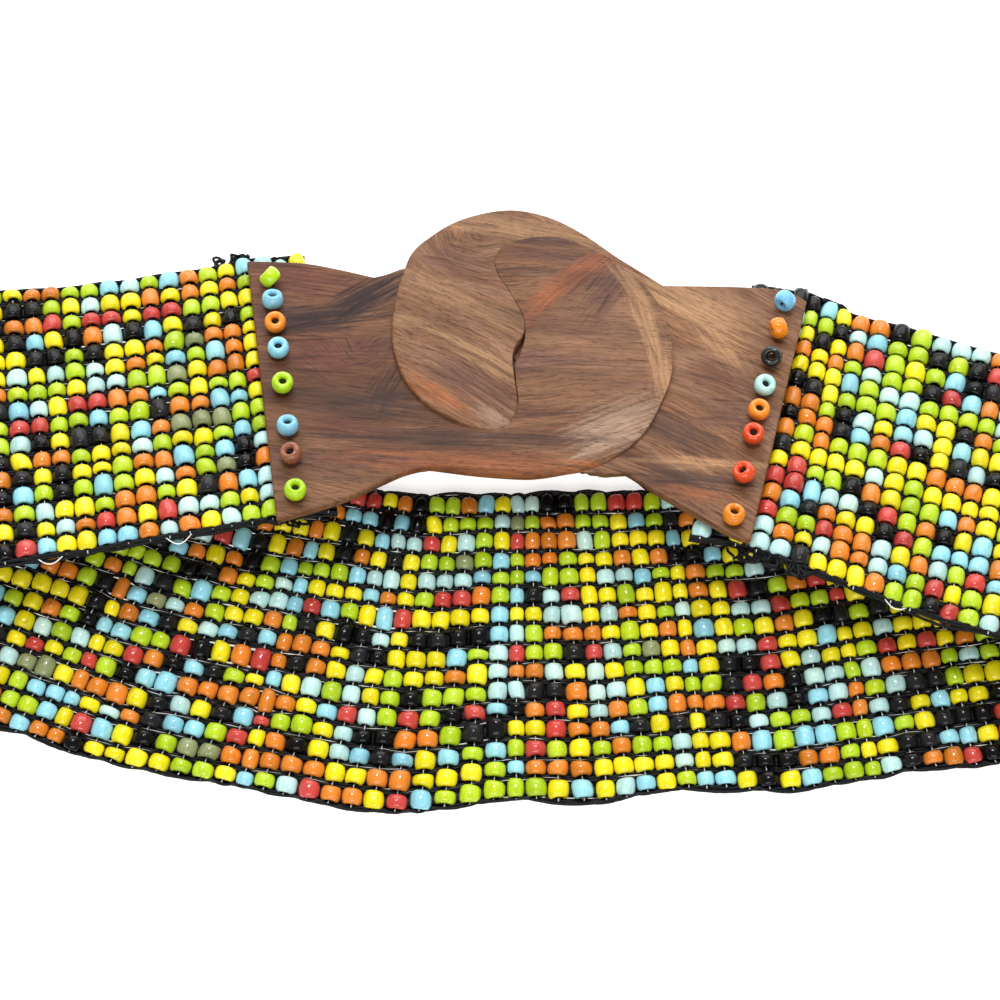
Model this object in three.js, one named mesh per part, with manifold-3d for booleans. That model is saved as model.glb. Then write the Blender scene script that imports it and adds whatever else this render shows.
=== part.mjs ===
import * as THREE from 'three';
import { mergeVertices } from 'three/addons/utils/BufferGeometryUtils.js';
import { TessellateModifier } from 'three/addons/modifiers/TessellateModifier.js';
import Module from 'manifold-3d';

// A beaded stretch belt, fastened and lying on a table: a woven strap of glass seed beads in a closed
// loop, and a carved wooden clasp of two halves whose round heads interlock. Millimetres and degrees;
// X runs along the belt, Y away from the near edge, Z up.

// Strap: rows of beads across, columns of beads along
const beadRows = 16;
const rowPitch = 4.3;
const columnPitch = 4.15;
const edgeCord = 0.8;
const beadThickness = 4.2;
const strapWidth = beadRows * rowPitch + edgeCord;

// Belt as it lies: how far the two folds reach from the middle, and how high they stand
const leftReach = 180;
const rightReach = 170;
const foldHeight = 25;

// Clasp: size over both plates, thickness of a plate and of the heads at their crown
const claspLength = 123;
const plateWidth = 68;
const plateThickness = 2.8;
const headHeight = 5.8;
const crownDrop = 2.6;
const crownRadius = 37;
const edgeRound = 0.6;
const claspTilt = 14.5;
const claspYaw = -3.9;
const claspShiftX = 2.6;
const claspShiftY = 18;
const strapTuck = 12.5;
const strapLead = 1.5;
const plateSpread = 1.015; // share of the strap's width that its rows take up under the plates

// Middle of the crown that both heads share, and the slopes from the flat plates up to it, as shares
// of half the clasp's length and half the plates' width
const crownAlong = 0.05;
const crownAcross = 0.36;
const leftSlopeStart = -0.54;
const leftSlopeEnd = 0.18;
const rightSlopeAlong = 0.585;
const rightSlopeAcross = 0.59;
const rightSlopeLean = 0.8;
const rightSlopeLength = 0.42;

// Stopper beads on the plates, with the holes that their threads pass through
const stopperDiameter = 4.7;
const stopperHeight = 3.3;
const stopperHole = 1.5;
const threadHole = 1.6;
const holeInset = 4.6;
const stopperSides = 12;
const stopperShoulder = 0.72; // where the rounding ends begin and end, as a share of radius
const stopperBarrel = 0.42; // straight part of the side, as a share of height
const drillSides = 8;

// Clearances: between the two halves, and between a plate and what touches it
const claspClearance = 0.3;
const seatClearance = 0.3;

// Fineness of the faceted surfaces
const facetLength = 10;
const facetSplits = 40;
const curveStep = 3.1;
const shortestEdge = 0.35;
const loopDivisions = 800;
const bandCorner = 0.3; // cut taken off the strap's rounded edges, as a share of half its thickness
const weldDistance = 1e-4;

const halfLength = claspLength / 2;
const halfWidth = plateWidth / 2;
const flat = new THREE.Vector3(0, 0, 1);
const radians = THREE.MathUtils.degToRad;

// Edges of the clasp seen from above. Each point is [along, across], as shares of half the clasp's
// length and half the plates' width.
const claspEdges = {
  leftTop: [[-0.985, 0.906], [-0.784, 0.918], [-0.65, 0.885], [-0.525, 0.838]],
  leftShoulder: [[-0.525, 0.838], [-0.48, 0.87], [-0.4, 0.945], [-0.3, 0.985]],
  leftSide: [[-0.985, 0.906], [-0.756, -1.09]],
  leftBottom: [[-0.756, -1.09], [-0.54, -0.91], [-0.35, -0.685], [-0.26, -0.625]],
  lobe: [
    [-0.26, -0.625], [-0.08, -0.648], [0.1, -0.643], [0.257, -0.59], [0.366, -0.475], [0.463, -0.282],
    [0.532, 0.04], [0.551, 0.27], [0.535, 0.5], [0.5, 0.705], [0.44, 0.868], [0.362, 0.99],
    [0.28, 1.105], [0.2, 1.185], [0.127, 1.23], [0.055, 1.226], [-0.01, 1.19], [-0.075, 1.12],
    [-0.102, 0.985],
  ],
  leftSlit: [
    [-0.102, 0.985], [-0.08, 0.86], [-0.036, 0.726], [0.016, 0.53], [0.029, 0.37], [0.016, 0.23],
    [0.002, 0.153], [0.01, 0.012], [0.023, -0.144], [0.002, -0.3],
  ],
  rightSlit: [
    [-0.102, 0.985], [-0.08, 0.86], [-0.036, 0.726], [0.016, 0.53], [0.026, 0.4], [-0.003, 0.27],
    [-0.006, 0.153], [0.008, 0.012], [0.023, -0.144], [0.002, -0.3],
  ],
  headSide: [
    [0.002, -0.3], [-0.035, -0.342], [-0.09, -0.345], [-0.16, -0.318], [-0.24, -0.25], [-0.32, -0.13],
    [-0.385, 0.03], [-0.427, 0.235], [-0.441, 0.42], [-0.44, 0.66], [-0.42, 0.9],
  ],
  headTop: [
    [-0.42, 0.9], [-0.403, 1.035], [-0.355, 1.17], [-0.24, 1.36], [-0.078, 1.47], [0.068, 1.432],
    [0.198, 1.305], [0.346, 1.094], [0.507, 0.909],
  ],
  rightTop: [[0.507, 0.909], [0.64, 0.935], [0.855, 0.95], [0.955, 0.93], [1.02, 0.862]],
  rightSide: [[1.02, 0.862], [0.836, -1.017]],
  rightBottom: [[0.836, -1.017], [0.78, -0.99], [0.697, -0.906], [0.54, -0.735], [0.407, -0.582]],
  rightTuck: [[0.407, -0.582], [0.33, -0.6], [0.262, -0.575]],
  parting: [
    [0.262, -0.575], [0.165, -0.36], [0.08, -0.09], [0, 0.235], [-0.1, 0.53], [-0.2, 0.78],
    [-0.3, 0.985],
  ],
};

// Middle line of the strap from the left plate round to the right one. reach: share of the fold's
// reach; side: share of the strap's width; rise: share of the fold's height; lean and tilt: degrees
// that the line across the strap turns in plan and drops towards the far edge; spread: share of the
// strap's width that the rows take up there.
const loopSections = [
  { half: 'left', reach: 0.356, side: 0.284, rise: 0.425, lean: -8, tilt: 14.3, spread: 1.015 },
  { half: 'left', reach: 0.504, side: 0.218, rise: 0.455, lean: -8.2, tilt: 12.8, spread: 1.015 },
  { half: 'left', reach: 0.59, side: 0.187, rise: 0.5, lean: -7.8, tilt: 11, spread: 1.01 },
  { half: 'left', reach: 0.77, side: 0.13, rise: 0.68, lean: -3, tilt: 6, spread: 1 },
  { half: 'left', reach: 0.91, side: 0.09, rise: 0.86, lean: 2, tilt: 2, spread: 1 },
  { half: 'left', reach: 0.985, side: 0.07, rise: 0.73, lean: 4, tilt: 0.5, spread: 1 },
  { half: 'left', reach: 1, side: 0.06, rise: 0.47, lean: 5.5, tilt: 0, spread: 1 },
  { half: 'left', reach: 0.98, side: 0.045, rise: 0.23, lean: 7, tilt: 0, spread: 1 },
  { half: 'left', reach: 0.91, side: 0, rise: 0.085, lean: 10, tilt: 0, spread: 1 },
  { half: 'left', reach: 0.74, side: -0.12, rise: 0, lean: 16, tilt: 0, spread: 1 },
  { half: 'left', reach: 0.51, side: -0.279, rise: 0, lean: 21, tilt: 0, spread: 1.005 },
  { half: 'left', reach: 0.397, side: -0.376, rise: 0, lean: 19.5, tilt: 0, spread: 1 },
  { half: 'left', reach: 0.224, side: -0.455, rise: 0, lean: 13, tilt: 0, spread: 1.01 },
  { half: 'left', reach: 0.1, side: -0.501, rise: 0, lean: 7, tilt: 0, spread: 1.02 },
  { half: 'right', reach: 0.011, side: -0.476, rise: 0, lean: 1, tilt: 0, spread: 0.972 },
  { half: 'right', reach: 0.117, side: -0.476, rise: 0, lean: -4, tilt: 0, spread: 0.98 },
  { half: 'right', reach: 0.224, side: -0.46, rise: 0, lean: -6, tilt: 0, spread: 0.955 },
  { half: 'right', reach: 0.323, side: -0.453, rise: 0, lean: -7.5, tilt: 0, spread: 0.975 },
  { half: 'right', reach: 0.479, side: -0.39, rise: 0, lean: -9.5, tilt: 0, spread: 0.99 },
  { half: 'right', reach: 0.61, side: -0.352, rise: 0, lean: -10, tilt: 0, spread: 1 },
  { half: 'right', reach: 0.8, side: -0.305, rise: 0, lean: -7, tilt: 0, spread: 1 },
  { half: 'right', reach: 0.92, side: -0.295, rise: 0.085, lean: -3, tilt: 0, spread: 1 },
  { half: 'right', reach: 0.98, side: -0.31, rise: 0.23, lean: 0.5, tilt: 0, spread: 1 },
  { half: 'right', reach: 1, side: -0.31, rise: 0.47, lean: 3, tilt: 0, spread: 1 },
  { half: 'right', reach: 0.985, side: -0.295, rise: 0.73, lean: 5.5, tilt: 0.5, spread: 1 },
  { half: 'right', reach: 0.91, side: -0.237, rise: 0.86, lean: 9, tilt: 3, spread: 1 },
  { half: 'right', reach: 0.77, side: -0.135, rise: 0.68, lean: 13, tilt: 7, spread: 1 },
  { half: 'right', reach: 0.6, side: -0.023, rise: 0.5, lean: 15, tilt: 11, spread: 1 },
  { half: 'right', reach: 0.512, side: 0.058, rise: 0.455, lean: 14, tilt: 12.8, spread: 1 },
  { half: 'right', reach: 0.415, side: 0.145, rise: 0.425, lean: 12.5, tilt: 14.3, spread: 1 },
];

// Stopper beads from the far edge to the near one. across: share of half the plate's width; lie:
// degrees that the bead's hole is tipped over from upright; turn: degrees that it then points round.
const leftStoppers = [
  { across: 0.72, lie: 62, turn: 150 },
  { across: 0.55, lie: 16, turn: 90 },
  { across: 0.367, lie: 14, turn: 270 },
  { across: 0.17, lie: 6, turn: 280 },
  { across: -0.105, lie: 12, turn: 300 },
  { across: -0.43, lie: 10, turn: 90 },
  { across: -0.64, lie: 14, turn: 210 },
  { across: -0.905, lie: 5, turn: 0 },
];
const rightStoppers = [
  { across: 0.79, lie: 90, turn: 55 },
  { across: 0.565, lie: 84, turn: 20 },
  { across: 0.335, lie: 40, turn: 250 },
  { across: 0.112, lie: 18, turn: 310 },
  { across: -0.08, lie: 10, turn: 300 },
  { across: -0.268, lie: 14, turn: 270 },
  { across: -0.568, lie: 26, turn: 190 },
  { across: -0.88, lie: 6, turn: 45 },
];

const manifold = await Module();
manifold.setup();

const belt = new THREE.Group();
const clasp = makeClaspGroup();
belt.add(clasp);

const wood = { color: 0x86604a, roughness: 0.5, metalness: 0 };
addMesh(clasp, 'clasp_half_left', leftHalf(), wood);
addMesh(clasp, 'clasp_half_right', rightHalf(), wood);
addStoppers('left', leftStoppers, claspEdges.leftSide, 1);
addStoppers('right', rightStoppers, claspEdges.rightSide, -1);
addMesh(belt, 'beaded_strap', strapBand(), { color: 0x9fb43a, roughness: 0.35, metalness: 0 });
standOnOrigin();

function addMesh(group, name, geometry, finish) {
  const mesh = new THREE.Mesh(geometry, new THREE.MeshStandardMaterial(finish));
  mesh.name = name;
  group.add(mesh);
  return mesh;
}

// The clasp's own frame: tilted so that the far edge of the strap beneath it meets the table
function makeClaspGroup() {
  const group = new THREE.Group();
  const tilt = radians(claspTilt);
  const lift = (strapWidth / 2) * Math.sin(tilt) + (beadThickness / 2) * Math.cos(tilt);
  group.rotation.order = 'ZXY';
  group.rotation.set(-tilt, 0, radians(claspYaw));
  group.position.set(claspShiftX, claspShiftY, lift);
  group.updateMatrix();
  const offset = new THREE.Vector3(0, 0, beadThickness / 2 + seatClearance);
  group.position.add(offset.applyQuaternion(group.quaternion));
  group.updateMatrix();
  return group;
}

// Points along a named edge of the clasp, moved sideways by inset to the left of their direction
function edgePoints(name, inset = 0, backwards = false) {
  const places = claspEdges[name].map(([u, v]) => new THREE.Vector2(u * halfLength, v * halfWidth));
  const curve = new THREE.SplineCurve(places);
  const steps = places.length === 2 ? 1 : Math.max(2, Math.round(curve.getLength() / curveStep));
  const points = [];
  for (let i = 0; i <= steps; i++) {
    const heading = curve.getTangentAt(i / steps);
    const side = new THREE.Vector2(-heading.y, heading.x).multiplyScalar(inset);
    points.push(curve.getPointAt(i / steps).add(side));
  }
  return backwards ? points.reverse() : points;
}

// One closed outline from several runs of points, without doubled ones where they meet
function outline(...runs) {
  const points = runs.flat().filter((p, i, all) => p.distanceTo(all[(i + 1) % all.length]) > shortestEdge);
  if (THREE.ShapeUtils.area(points) < 0) points.reverse();
  return points;
}

// Moves a closed outline outwards by a distance
function grown(points, distance) {
  return points.map((point, i) => {
    const before = points[(i + points.length - 1) % points.length];
    const after = points[(i + 1) % points.length];
    const heading = after.clone().sub(before).normalize();
    return new THREE.Vector2(point.x + heading.y * distance, point.y - heading.x * distance);
  });
}

// Outlines of what is seen of each half, and of the plate that runs on under the other's head
function leftSeen() {
  const half = claspClearance / 2;
  return outline(
    edgePoints('leftSide'),
    edgePoints('leftBottom'),
    edgePoints('lobe', half),
    edgePoints('leftSlit', half),
    edgePoints('headSide', half),
    edgePoints('leftShoulder', 0, true).filter((p) => p.x < claspEdges.headSide.at(-1)[0] * halfLength),
    edgePoints('leftTop', 0, true),
  );
}

function rightSeen() {
  const half = claspClearance / 2;
  const tuckEnd = edgePoints('rightTuck').at(1);
  const pastTuck = (p) => p.y > (p.x > 0 ? tuckEnd.y : 0);
  const lobeSide = edgePoints('lobe', -half).filter(pastTuck);
  return outline(
    edgePoints('headTop'),
    edgePoints('rightTop'),
    edgePoints('rightSide'),
    edgePoints('rightBottom'),
    [tuckEnd],
    lobeSide,
    edgePoints('rightSlit', -half),
    edgePoints('headSide', -half),
  );
}

function leftPlate() {
  return outline(
    edgePoints('leftSide'),
    edgePoints('leftBottom'),
    edgePoints('lobe', claspClearance).filter((p) => p.y < 0 && p.x < claspEdges.parting[0][0] * halfLength),
    edgePoints('parting', claspClearance / 2),
    edgePoints('leftShoulder', 0, true),
    edgePoints('leftTop', 0, true),
  );
}

function rightPlate() {
  const startX = claspEdges.parting.at(-1)[0] * halfLength;
  return outline(
    edgePoints('headTop', -edgeRound / 2).filter((p) => p.x > startX),
    edgePoints('rightTop'),
    edgePoints('rightSide'),
    edgePoints('rightBottom'),
    edgePoints('rightTuck'),
    edgePoints('parting', -claspClearance / 2),
  );
}

// Height of the carved surface: both heads share one crown, and each half falls to its flat plate
function crown(u, v) {
  const fromMiddle = Math.hypot(u - crownAlong * halfLength, v - crownAcross * halfWidth);
  return headHeight - crownDrop * (fromMiddle / crownRadius) ** 2;
}

function leftSurface(u, v) {
  const rise = THREE.MathUtils.smoothstep(u, leftSlopeStart * halfLength, leftSlopeEnd * halfLength);
  return THREE.MathUtils.lerp(plateThickness, crown(u, v), rise);
}

function rightSurface(u, v) {
  const along = rightSlopeAlong * halfLength - u;
  const towardsHead = along + rightSlopeLean * (v - rightSlopeAcross * halfWidth);
  const rise = THREE.MathUtils.smoothstep(towardsHead, 0, rightSlopeLength * halfLength);
  return THREE.MathUtils.lerp(plateThickness, crown(u, v), rise);
}

// A block over an outline, its upper face following a surface and its long edges rounded
function carvedBlock(points, surface) {
  const geometry = new THREE.ExtrudeGeometry(new THREE.Shape(points), {
    depth: headHeight - 2 * edgeRound,
    bevelThickness: edgeRound,
    bevelSize: edgeRound,
    bevelOffset: -edgeRound,
    bevelSegments: 2,
  });
  geometry.translate(0, 0, edgeRound);
  const fine = new TessellateModifier(facetLength, facetSplits).modify(bare(geometry));
  const place = fine.getAttribute('position');
  for (let i = 0; i < place.count; i++) {
    const share = surface(place.getX(i), place.getY(i)) / headHeight;
    place.setZ(i, place.getZ(i) * share);
  }
  return fine;
}

function flatBlock(points, low, high) {
  const geometry = new THREE.ExtrudeGeometry(new THREE.Shape(points), {
    depth: high - low,
    bevelEnabled: false,
  });
  return geometry.translate(0, 0, low);
}

function leftHalf() {
  const seat = flatBlock(leftPlate(), 0, plateThickness - claspClearance);
  const room = flatBlock(grown(rightPlate(), claspClearance), -seatClearance, plateThickness);
  const body = solid(carvedBlock(leftSeen(), leftSurface)).add(solid(seat)).subtract(solid(room));
  return drilled(body, leftStoppers, claspEdges.leftSide, 1);
}

function rightHalf() {
  const seat = flatBlock(rightPlate(), 0, plateThickness - claspClearance);
  const room = flatBlock(grown(leftPlate(), claspClearance), -seatClearance, plateThickness);
  const body = solid(carvedBlock(rightSeen(), rightSurface)).add(solid(seat)).subtract(solid(room));
  return drilled(body, rightStoppers, claspEdges.rightSide, -1);
}

// Place of a stopper bead on its plate: on a line inside the plate's outer edge
function stopperPlace(stopper, sideEdge, inwards) {
  const [top, bottom] = sideEdge;
  const share = (top[1] - stopper.across) / (top[1] - bottom[1]);
  const edge = THREE.MathUtils.lerp(top[0], bottom[0], share) * halfLength;
  return new THREE.Vector2(edge + inwards * holeInset, stopper.across * halfWidth);
}

function drilled(body, stoppers, sideEdge, inwards) {
  let result = body;
  for (const stopper of stoppers) {
    const place = stopperPlace(stopper, sideEdge, inwards);
    const radius = threadHole / 2;
    const drill = new THREE.CylinderGeometry(radius, radius, 3 * plateThickness, drillSides);
    drill.rotateX(Math.PI / 2).translate(place.x, place.y, plateThickness / 2);
    result = result.subtract(solid(drill));
  }
  return fromSolid(result);
}

// A short glass barrel with rounded shoulders and a hole through it, standing on its end
function stopperShape() {
  const outer = stopperDiameter / 2;
  const inner = stopperHole / 2;
  const end = stopperHeight / 2;
  const lip = stopperShoulder * end;
  const shoulder = stopperShoulder * outer;
  const barrel = stopperBarrel * end;
  const profile = [
    [inner, -lip], [shoulder, -end], [outer, -barrel], [outer, barrel], [shoulder, end], [inner, lip],
    [inner, -lip],
  ];
  const points = profile.map(([r, z]) => new THREE.Vector2(r, z));
  return new THREE.LatheGeometry(points, stopperSides).rotateX(Math.PI / 2);
}

function addStoppers(side, stoppers, sideEdge, inwards) {
  stoppers.forEach((stopper, i) => {
    const place = stopperPlace(stopper, sideEdge, inwards);
    const lie = radians(stopper.lie);
    const finish = { color: 0xe0a030, roughness: 0.15, metalness: 0 };
    const mesh = addMesh(clasp, `stopper_bead_${side}_${i + 1}`, stopperShape(), finish);
    const pointing = new THREE.Vector3(Math.sin(lie), 0, Math.cos(lie));
    pointing.applyAxisAngle(flat, radians(stopper.turn));
    mesh.quaternion.setFromUnitVectors(flat, pointing);
    mesh.updateMatrix();
    const lowest = lowestPoint(mesh.geometry, mesh.matrix);
    mesh.position.set(place.x, place.y, plateThickness + seatClearance - lowest);
  });
}

function lowestPoint(geometry, matrix) {
  const moved = geometry.clone().applyMatrix4(matrix);
  moved.computeBoundingBox();
  return moved.boundingBox.min.z;
}

// Middle and across direction of the strap at each row of the table, and where it ends under a plate
function loopFrames() {
  const frames = loopSections.map((row) => {
    const reach = row.half === 'left' ? -leftReach : rightReach;
    const tilt = radians(row.tilt);
    const lean = radians(row.lean);
    const middle = new THREE.Vector3(
      row.reach * reach,
      row.side * strapWidth,
      beadThickness / 2 + row.rise * (foldHeight - beadThickness),
    );
    const across = new THREE.Vector3(
      Math.sin(lean) * Math.cos(tilt),
      Math.cos(lean) * Math.cos(tilt),
      -Math.sin(tilt),
    );
    return { middle, across, spread: row.spread };
  });
  const left = plateFrames(claspEdges.leftSide, 1);
  const right = plateFrames(claspEdges.rightSide, -1);
  return [...left, ...frames, ...right.reverse()];
}

// The strap runs straight under a plate and a little way beyond it
function plateFrames(sideEdge, inwards) {
  const [top, bottom] = sideEdge;
  const edgeMiddle = ((top[0] + bottom[0]) / 2) * halfLength;
  const below = -(beadThickness / 2 + seatClearance);
  const slant = new THREE.Vector3((top[0] - bottom[0]) * halfLength, (top[1] - bottom[1]) * halfWidth, 0);
  return [strapTuck, strapTuck / 2, -strapLead].map((inset) => ({
    middle: new THREE.Vector3(edgeMiddle + inwards * inset, 0, below).applyMatrix4(clasp.matrix),
    across: slant.clone().normalize().applyQuaternion(clasp.quaternion),
    spread: plateSpread,
  }));
}

// The woven band: a flat section with rounded edges, carried round the loop a column at a time
function strapBand() {
  const frames = loopFrames();
  const middles = new THREE.CatmullRomCurve3(frames.map((f) => f.middle), false, 'centripetal');
  const acrosses = new THREE.CatmullRomCurve3(frames.map((f) => f.across), false, 'centripetal');
  const spreads = new THREE.SplineCurve(frames.map((f, i) => new THREE.Vector2(i, f.spread)));
  middles.arcLengthDivisions = loopDivisions;
  const columns = Math.round(middles.getLength() / columnPitch);
  const section = bandSection();
  const rings = [];
  for (let i = 0; i <= columns; i++) {
    const t = middles.getUtoTmapping(i / columns);
    const middle = middles.getPoint(t);
    middle.z = Math.max(middle.z, beadThickness / 2);
    const across = acrosses.getPoint(t).normalize();
    const outward = across.clone().cross(middles.getTangent(t)).normalize();
    const spread = spreads.getPoint(t).y;
    rings.push(section.map(([x, y]) => (
      middle.clone().addScaledVector(across, x * spread).addScaledVector(outward, y)
    )));
  }
  return skinned(rings);
}

function bandSection() {
  const half = strapWidth / 2;
  const thick = beadThickness / 2;
  const corner = bandCorner * thick;
  const upper = [[half - thick, thick], [half - corner, thick - corner], [half, 0]];
  const right = [...upper, [half - corner, corner - thick], [half - thick, -thick]];
  return [...right, ...right.map(([x, y]) => [-x, -y])];
}

// Joins rings of points, each with the same number of points, into one closed skin
function skinned(rings) {
  const size = rings[0].length;
  const positions = rings.flat().flatMap((p) => [p.x, p.y, p.z]);
  const faces = [];
  for (let i = 0; i < rings.length - 1; i++) {
    for (let j = 0; j < size; j++) {
      const a = i * size + j;
      const b = i * size + ((j + 1) % size);
      faces.push(a, b, a + size, b, b + size, a + size);
    }
  }
  const last = (rings.length - 1) * size;
  for (let j = 1; j < size - 1; j++) {
    faces.push(0, j + 1, j);
    faces.push(last, last + j, last + j + 1);
  }
  const geometry = new THREE.BufferGeometry();
  geometry.setAttribute('position', new THREE.Float32BufferAttribute(positions, 3));
  geometry.setIndex(faces);
  return geometry;
}

function bare(geometry) {
  geometry.deleteAttribute('normal');
  geometry.deleteAttribute('uv');
  return geometry;
}

function solid(geometry) {
  const merged = mergeVertices(bare(geometry), weldDistance);
  return new manifold.Manifold(new manifold.Mesh({
    numProp: 3,
    vertProperties: new Float32Array(merged.getAttribute('position').array),
    triVerts: new Uint32Array(merged.index.array),
  }));
}

function fromSolid(body) {
  const mesh = body.getMesh();
  const geometry = new THREE.BufferGeometry();
  geometry.setAttribute('position', new THREE.Float32BufferAttribute(mesh.vertProperties, 3));
  geometry.setIndex(Array.from(mesh.triVerts));
  return geometry;
}

// Brings the middle of the belt's underside to the origin
function standOnOrigin() {
  belt.updateMatrixWorld(true);
  const box = new THREE.Box3().setFromObject(belt, true);
  const middle = box.getCenter(new THREE.Vector3());
  belt.position.set(-middle.x, -middle.y, -box.min.z);
  belt.updateMatrixWorld(true);
}

export default belt;
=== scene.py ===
import math

import bpy
import numpy as np
from mathutils import Matrix, Vector, geometry


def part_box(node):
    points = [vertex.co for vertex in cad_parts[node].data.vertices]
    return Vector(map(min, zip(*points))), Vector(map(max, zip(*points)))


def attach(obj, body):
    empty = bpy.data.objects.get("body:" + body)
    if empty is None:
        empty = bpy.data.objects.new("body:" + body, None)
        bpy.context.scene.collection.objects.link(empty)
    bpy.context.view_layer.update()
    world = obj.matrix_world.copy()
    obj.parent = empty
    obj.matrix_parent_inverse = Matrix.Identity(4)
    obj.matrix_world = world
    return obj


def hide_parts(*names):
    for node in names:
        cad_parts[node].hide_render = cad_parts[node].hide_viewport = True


# A beaded stretch belt with a carved rosewood clasp, lying on a white table. Lengths below are
# millimetres in the belt's own drawing frame, and placed() takes them to the row frame in metres.
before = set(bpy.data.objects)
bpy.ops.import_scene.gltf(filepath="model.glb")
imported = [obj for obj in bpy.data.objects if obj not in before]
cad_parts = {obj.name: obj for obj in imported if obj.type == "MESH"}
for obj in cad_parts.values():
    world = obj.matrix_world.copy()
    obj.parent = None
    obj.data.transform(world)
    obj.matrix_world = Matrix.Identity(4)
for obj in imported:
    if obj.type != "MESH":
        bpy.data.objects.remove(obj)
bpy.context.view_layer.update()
mm = 0.001

clasp = {
    "length": 123,
    "width": 68,
    "plate": 2.8,
    "tilt": 14.5,
    "yaw": -3.9,
    "at": (2.6, 18),
    "seat": 0.3,
    "leftSide": ((-0.985, 0.906), (-0.756, -1.09)),
    "rightSide": ((1.02, 0.862), (0.836, -1.017)),
}
strap = {
    "rows": 16,
    "rowPitch": 4.3,
    "columnPitch": 4.15,
    "edgeCord": 0.8,
    "thickness": 4.2,
    "leftReach": 180,
    "rightReach": 170,
    "foldHeight": 25,
    "tuck": 12.5,
    "lead": 1.5,
    "plateSpread": 1.015,
}
strap["width"] = strap["rows"] * strap["rowPitch"] + strap["edgeCord"]

# reach, side, rise, lean, tilt, spread down the strap's middle line, left plate to right plate
loopSections = [
    (-0.356, 0.284, 0.425, -8, 14.3, 1.015), (-0.504, 0.218, 0.455, -8.2, 12.8, 1.015),
    (-0.59, 0.187, 0.5, -7.8, 11, 1.01), (-0.77, 0.13, 0.68, -3, 6, 1), (-0.91, 0.09, 0.86, 2, 2, 1),
    (-0.985, 0.07, 0.73, 4, 0.5, 1), (-1, 0.06, 0.47, 5.5, 0, 1), (-0.98, 0.045, 0.23, 7, 0, 1),
    (-0.91, 0, 0.085, 10, 0, 1), (-0.74, -0.12, 0, 16, 0, 1), (-0.51, -0.279, 0, 21, 0, 1.005),
    (-0.397, -0.376, 0, 19.5, 0, 1), (-0.224, -0.455, 0, 13, 0, 1.01), (-0.1, -0.501, 0, 7, 0, 1.02),
    (0.011, -0.476, 0, 1, 0, 0.972), (0.117, -0.476, 0, -4, 0, 0.98), (0.224, -0.46, 0, -6, 0, 0.955),
    (0.323, -0.453, 0, -7.5, 0, 0.975), (0.479, -0.39, 0, -9.5, 0, 0.99), (0.61, -0.352, 0, -10, 0, 1),
    (0.8, -0.305, 0, -7, 0, 1), (0.92, -0.295, 0.085, -3, 0, 1), (0.98, -0.31, 0.23, 0.5, 0, 1),
    (1, -0.31, 0.47, 3, 0, 1), (0.985, -0.295, 0.73, 5.5, 0.5, 1), (0.91, -0.237, 0.86, 9, 3, 1),
    (0.77, -0.135, 0.68, 13, 7, 1), (0.6, -0.023, 0.5, 15, 11, 1), (0.512, 0.058, 0.455, 14, 12.8, 1),
    (0.415, 0.145, 0.425, 12.5, 14.3, 1),
]


def claspMatrix():
    tilt = math.radians(clasp["tilt"])
    half = strap["thickness"] / 2
    lift = strap["width"] / 2 * math.sin(tilt) + half * math.cos(tilt)
    turn = Matrix.Rotation(math.radians(clasp["yaw"]), 4, "Z") @ Matrix.Rotation(-tilt, 4, "X")
    origin = Vector((*clasp["at"], lift)) + turn @ Vector((0, 0, half + clasp["seat"]))
    return Matrix.Translation(origin) @ turn


def plateRows(side, inwards):
    # the strap's straight run under one plate
    matrix = claspMatrix()
    (topX, topY), (lowX, lowY) = side
    below = -(strap["thickness"] / 2 + clasp["seat"])
    slant = Vector(((topX - lowX) * clasp["length"] / 2, (topY - lowY) * clasp["width"] / 2, 0))
    across = (matrix.to_3x3() @ slant).normalized()
    rows = []
    for inset in (strap["tuck"], strap["tuck"] / 2, -strap["lead"]):
        along = (topX + lowX) / 2 * clasp["length"] / 2 + inwards * inset
        rows.append((matrix @ Vector((along, 0, below)), across, strap["plateSpread"]))
    return rows


def loopRows():
    rows = []
    thick = strap["thickness"]
    for reach, side, rise, lean, tilt, spread in loopSections:
        span = strap["leftReach"] if reach < 0 else strap["rightReach"]
        height = thick / 2 + rise * (strap["foldHeight"] - thick)
        middle = Vector((reach * span, side * strap["width"], height))
        a, b = math.radians(lean), math.radians(tilt)
        across = Vector((math.sin(a) * math.cos(b), math.cos(a) * math.cos(b), -math.sin(b)))
        rows.append((middle, across, spread))
    left = plateRows(clasp["leftSide"], 1)
    right = plateRows(clasp["rightSide"], -1)
    return left + rows + right[::-1]


def curvePoints(points, t):
    # centripetal spline through points, at shares t of its parameter
    count = len(points)
    place = np.clip(t, 0, 1) * (count - 1)
    start = np.minimum(place.astype(int), count - 2)
    weight = (place - start)[:, None]
    ends = np.vstack([2 * points[0] - points[1], points, 2 * points[-1] - points[-2]])
    p0, p1, p2, p3 = (ends[start + k] for k in range(4))

    def gap(a, b):
        return np.sum((a - b) ** 2, axis=1) ** 0.25

    d0, d1, d2 = gap(p0, p1), gap(p1, p2), gap(p2, p3)
    d1 = np.where(d1 < 1e-4, 1.0, d1)
    d0 = np.where(d0 < 1e-4, d1, d0)[:, None]
    d2 = np.where(d2 < 1e-4, d1, d2)[:, None]
    d1 = d1[:, None]
    t1 = ((p1 - p0) / d0 - (p2 - p0) / (d0 + d1) + (p2 - p1) / d1) * d1
    t2 = ((p2 - p1) / d1 - (p3 - p1) / (d1 + d2) + (p3 - p2) / d2) * d1
    c2 = -3 * p1 + 3 * p2 - 2 * t1 - t2
    c3 = 2 * p1 - 2 * p2 + t1 + t2
    return p1 + t1 * weight + c2 * weight ** 2 + c3 * weight ** 3


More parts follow.
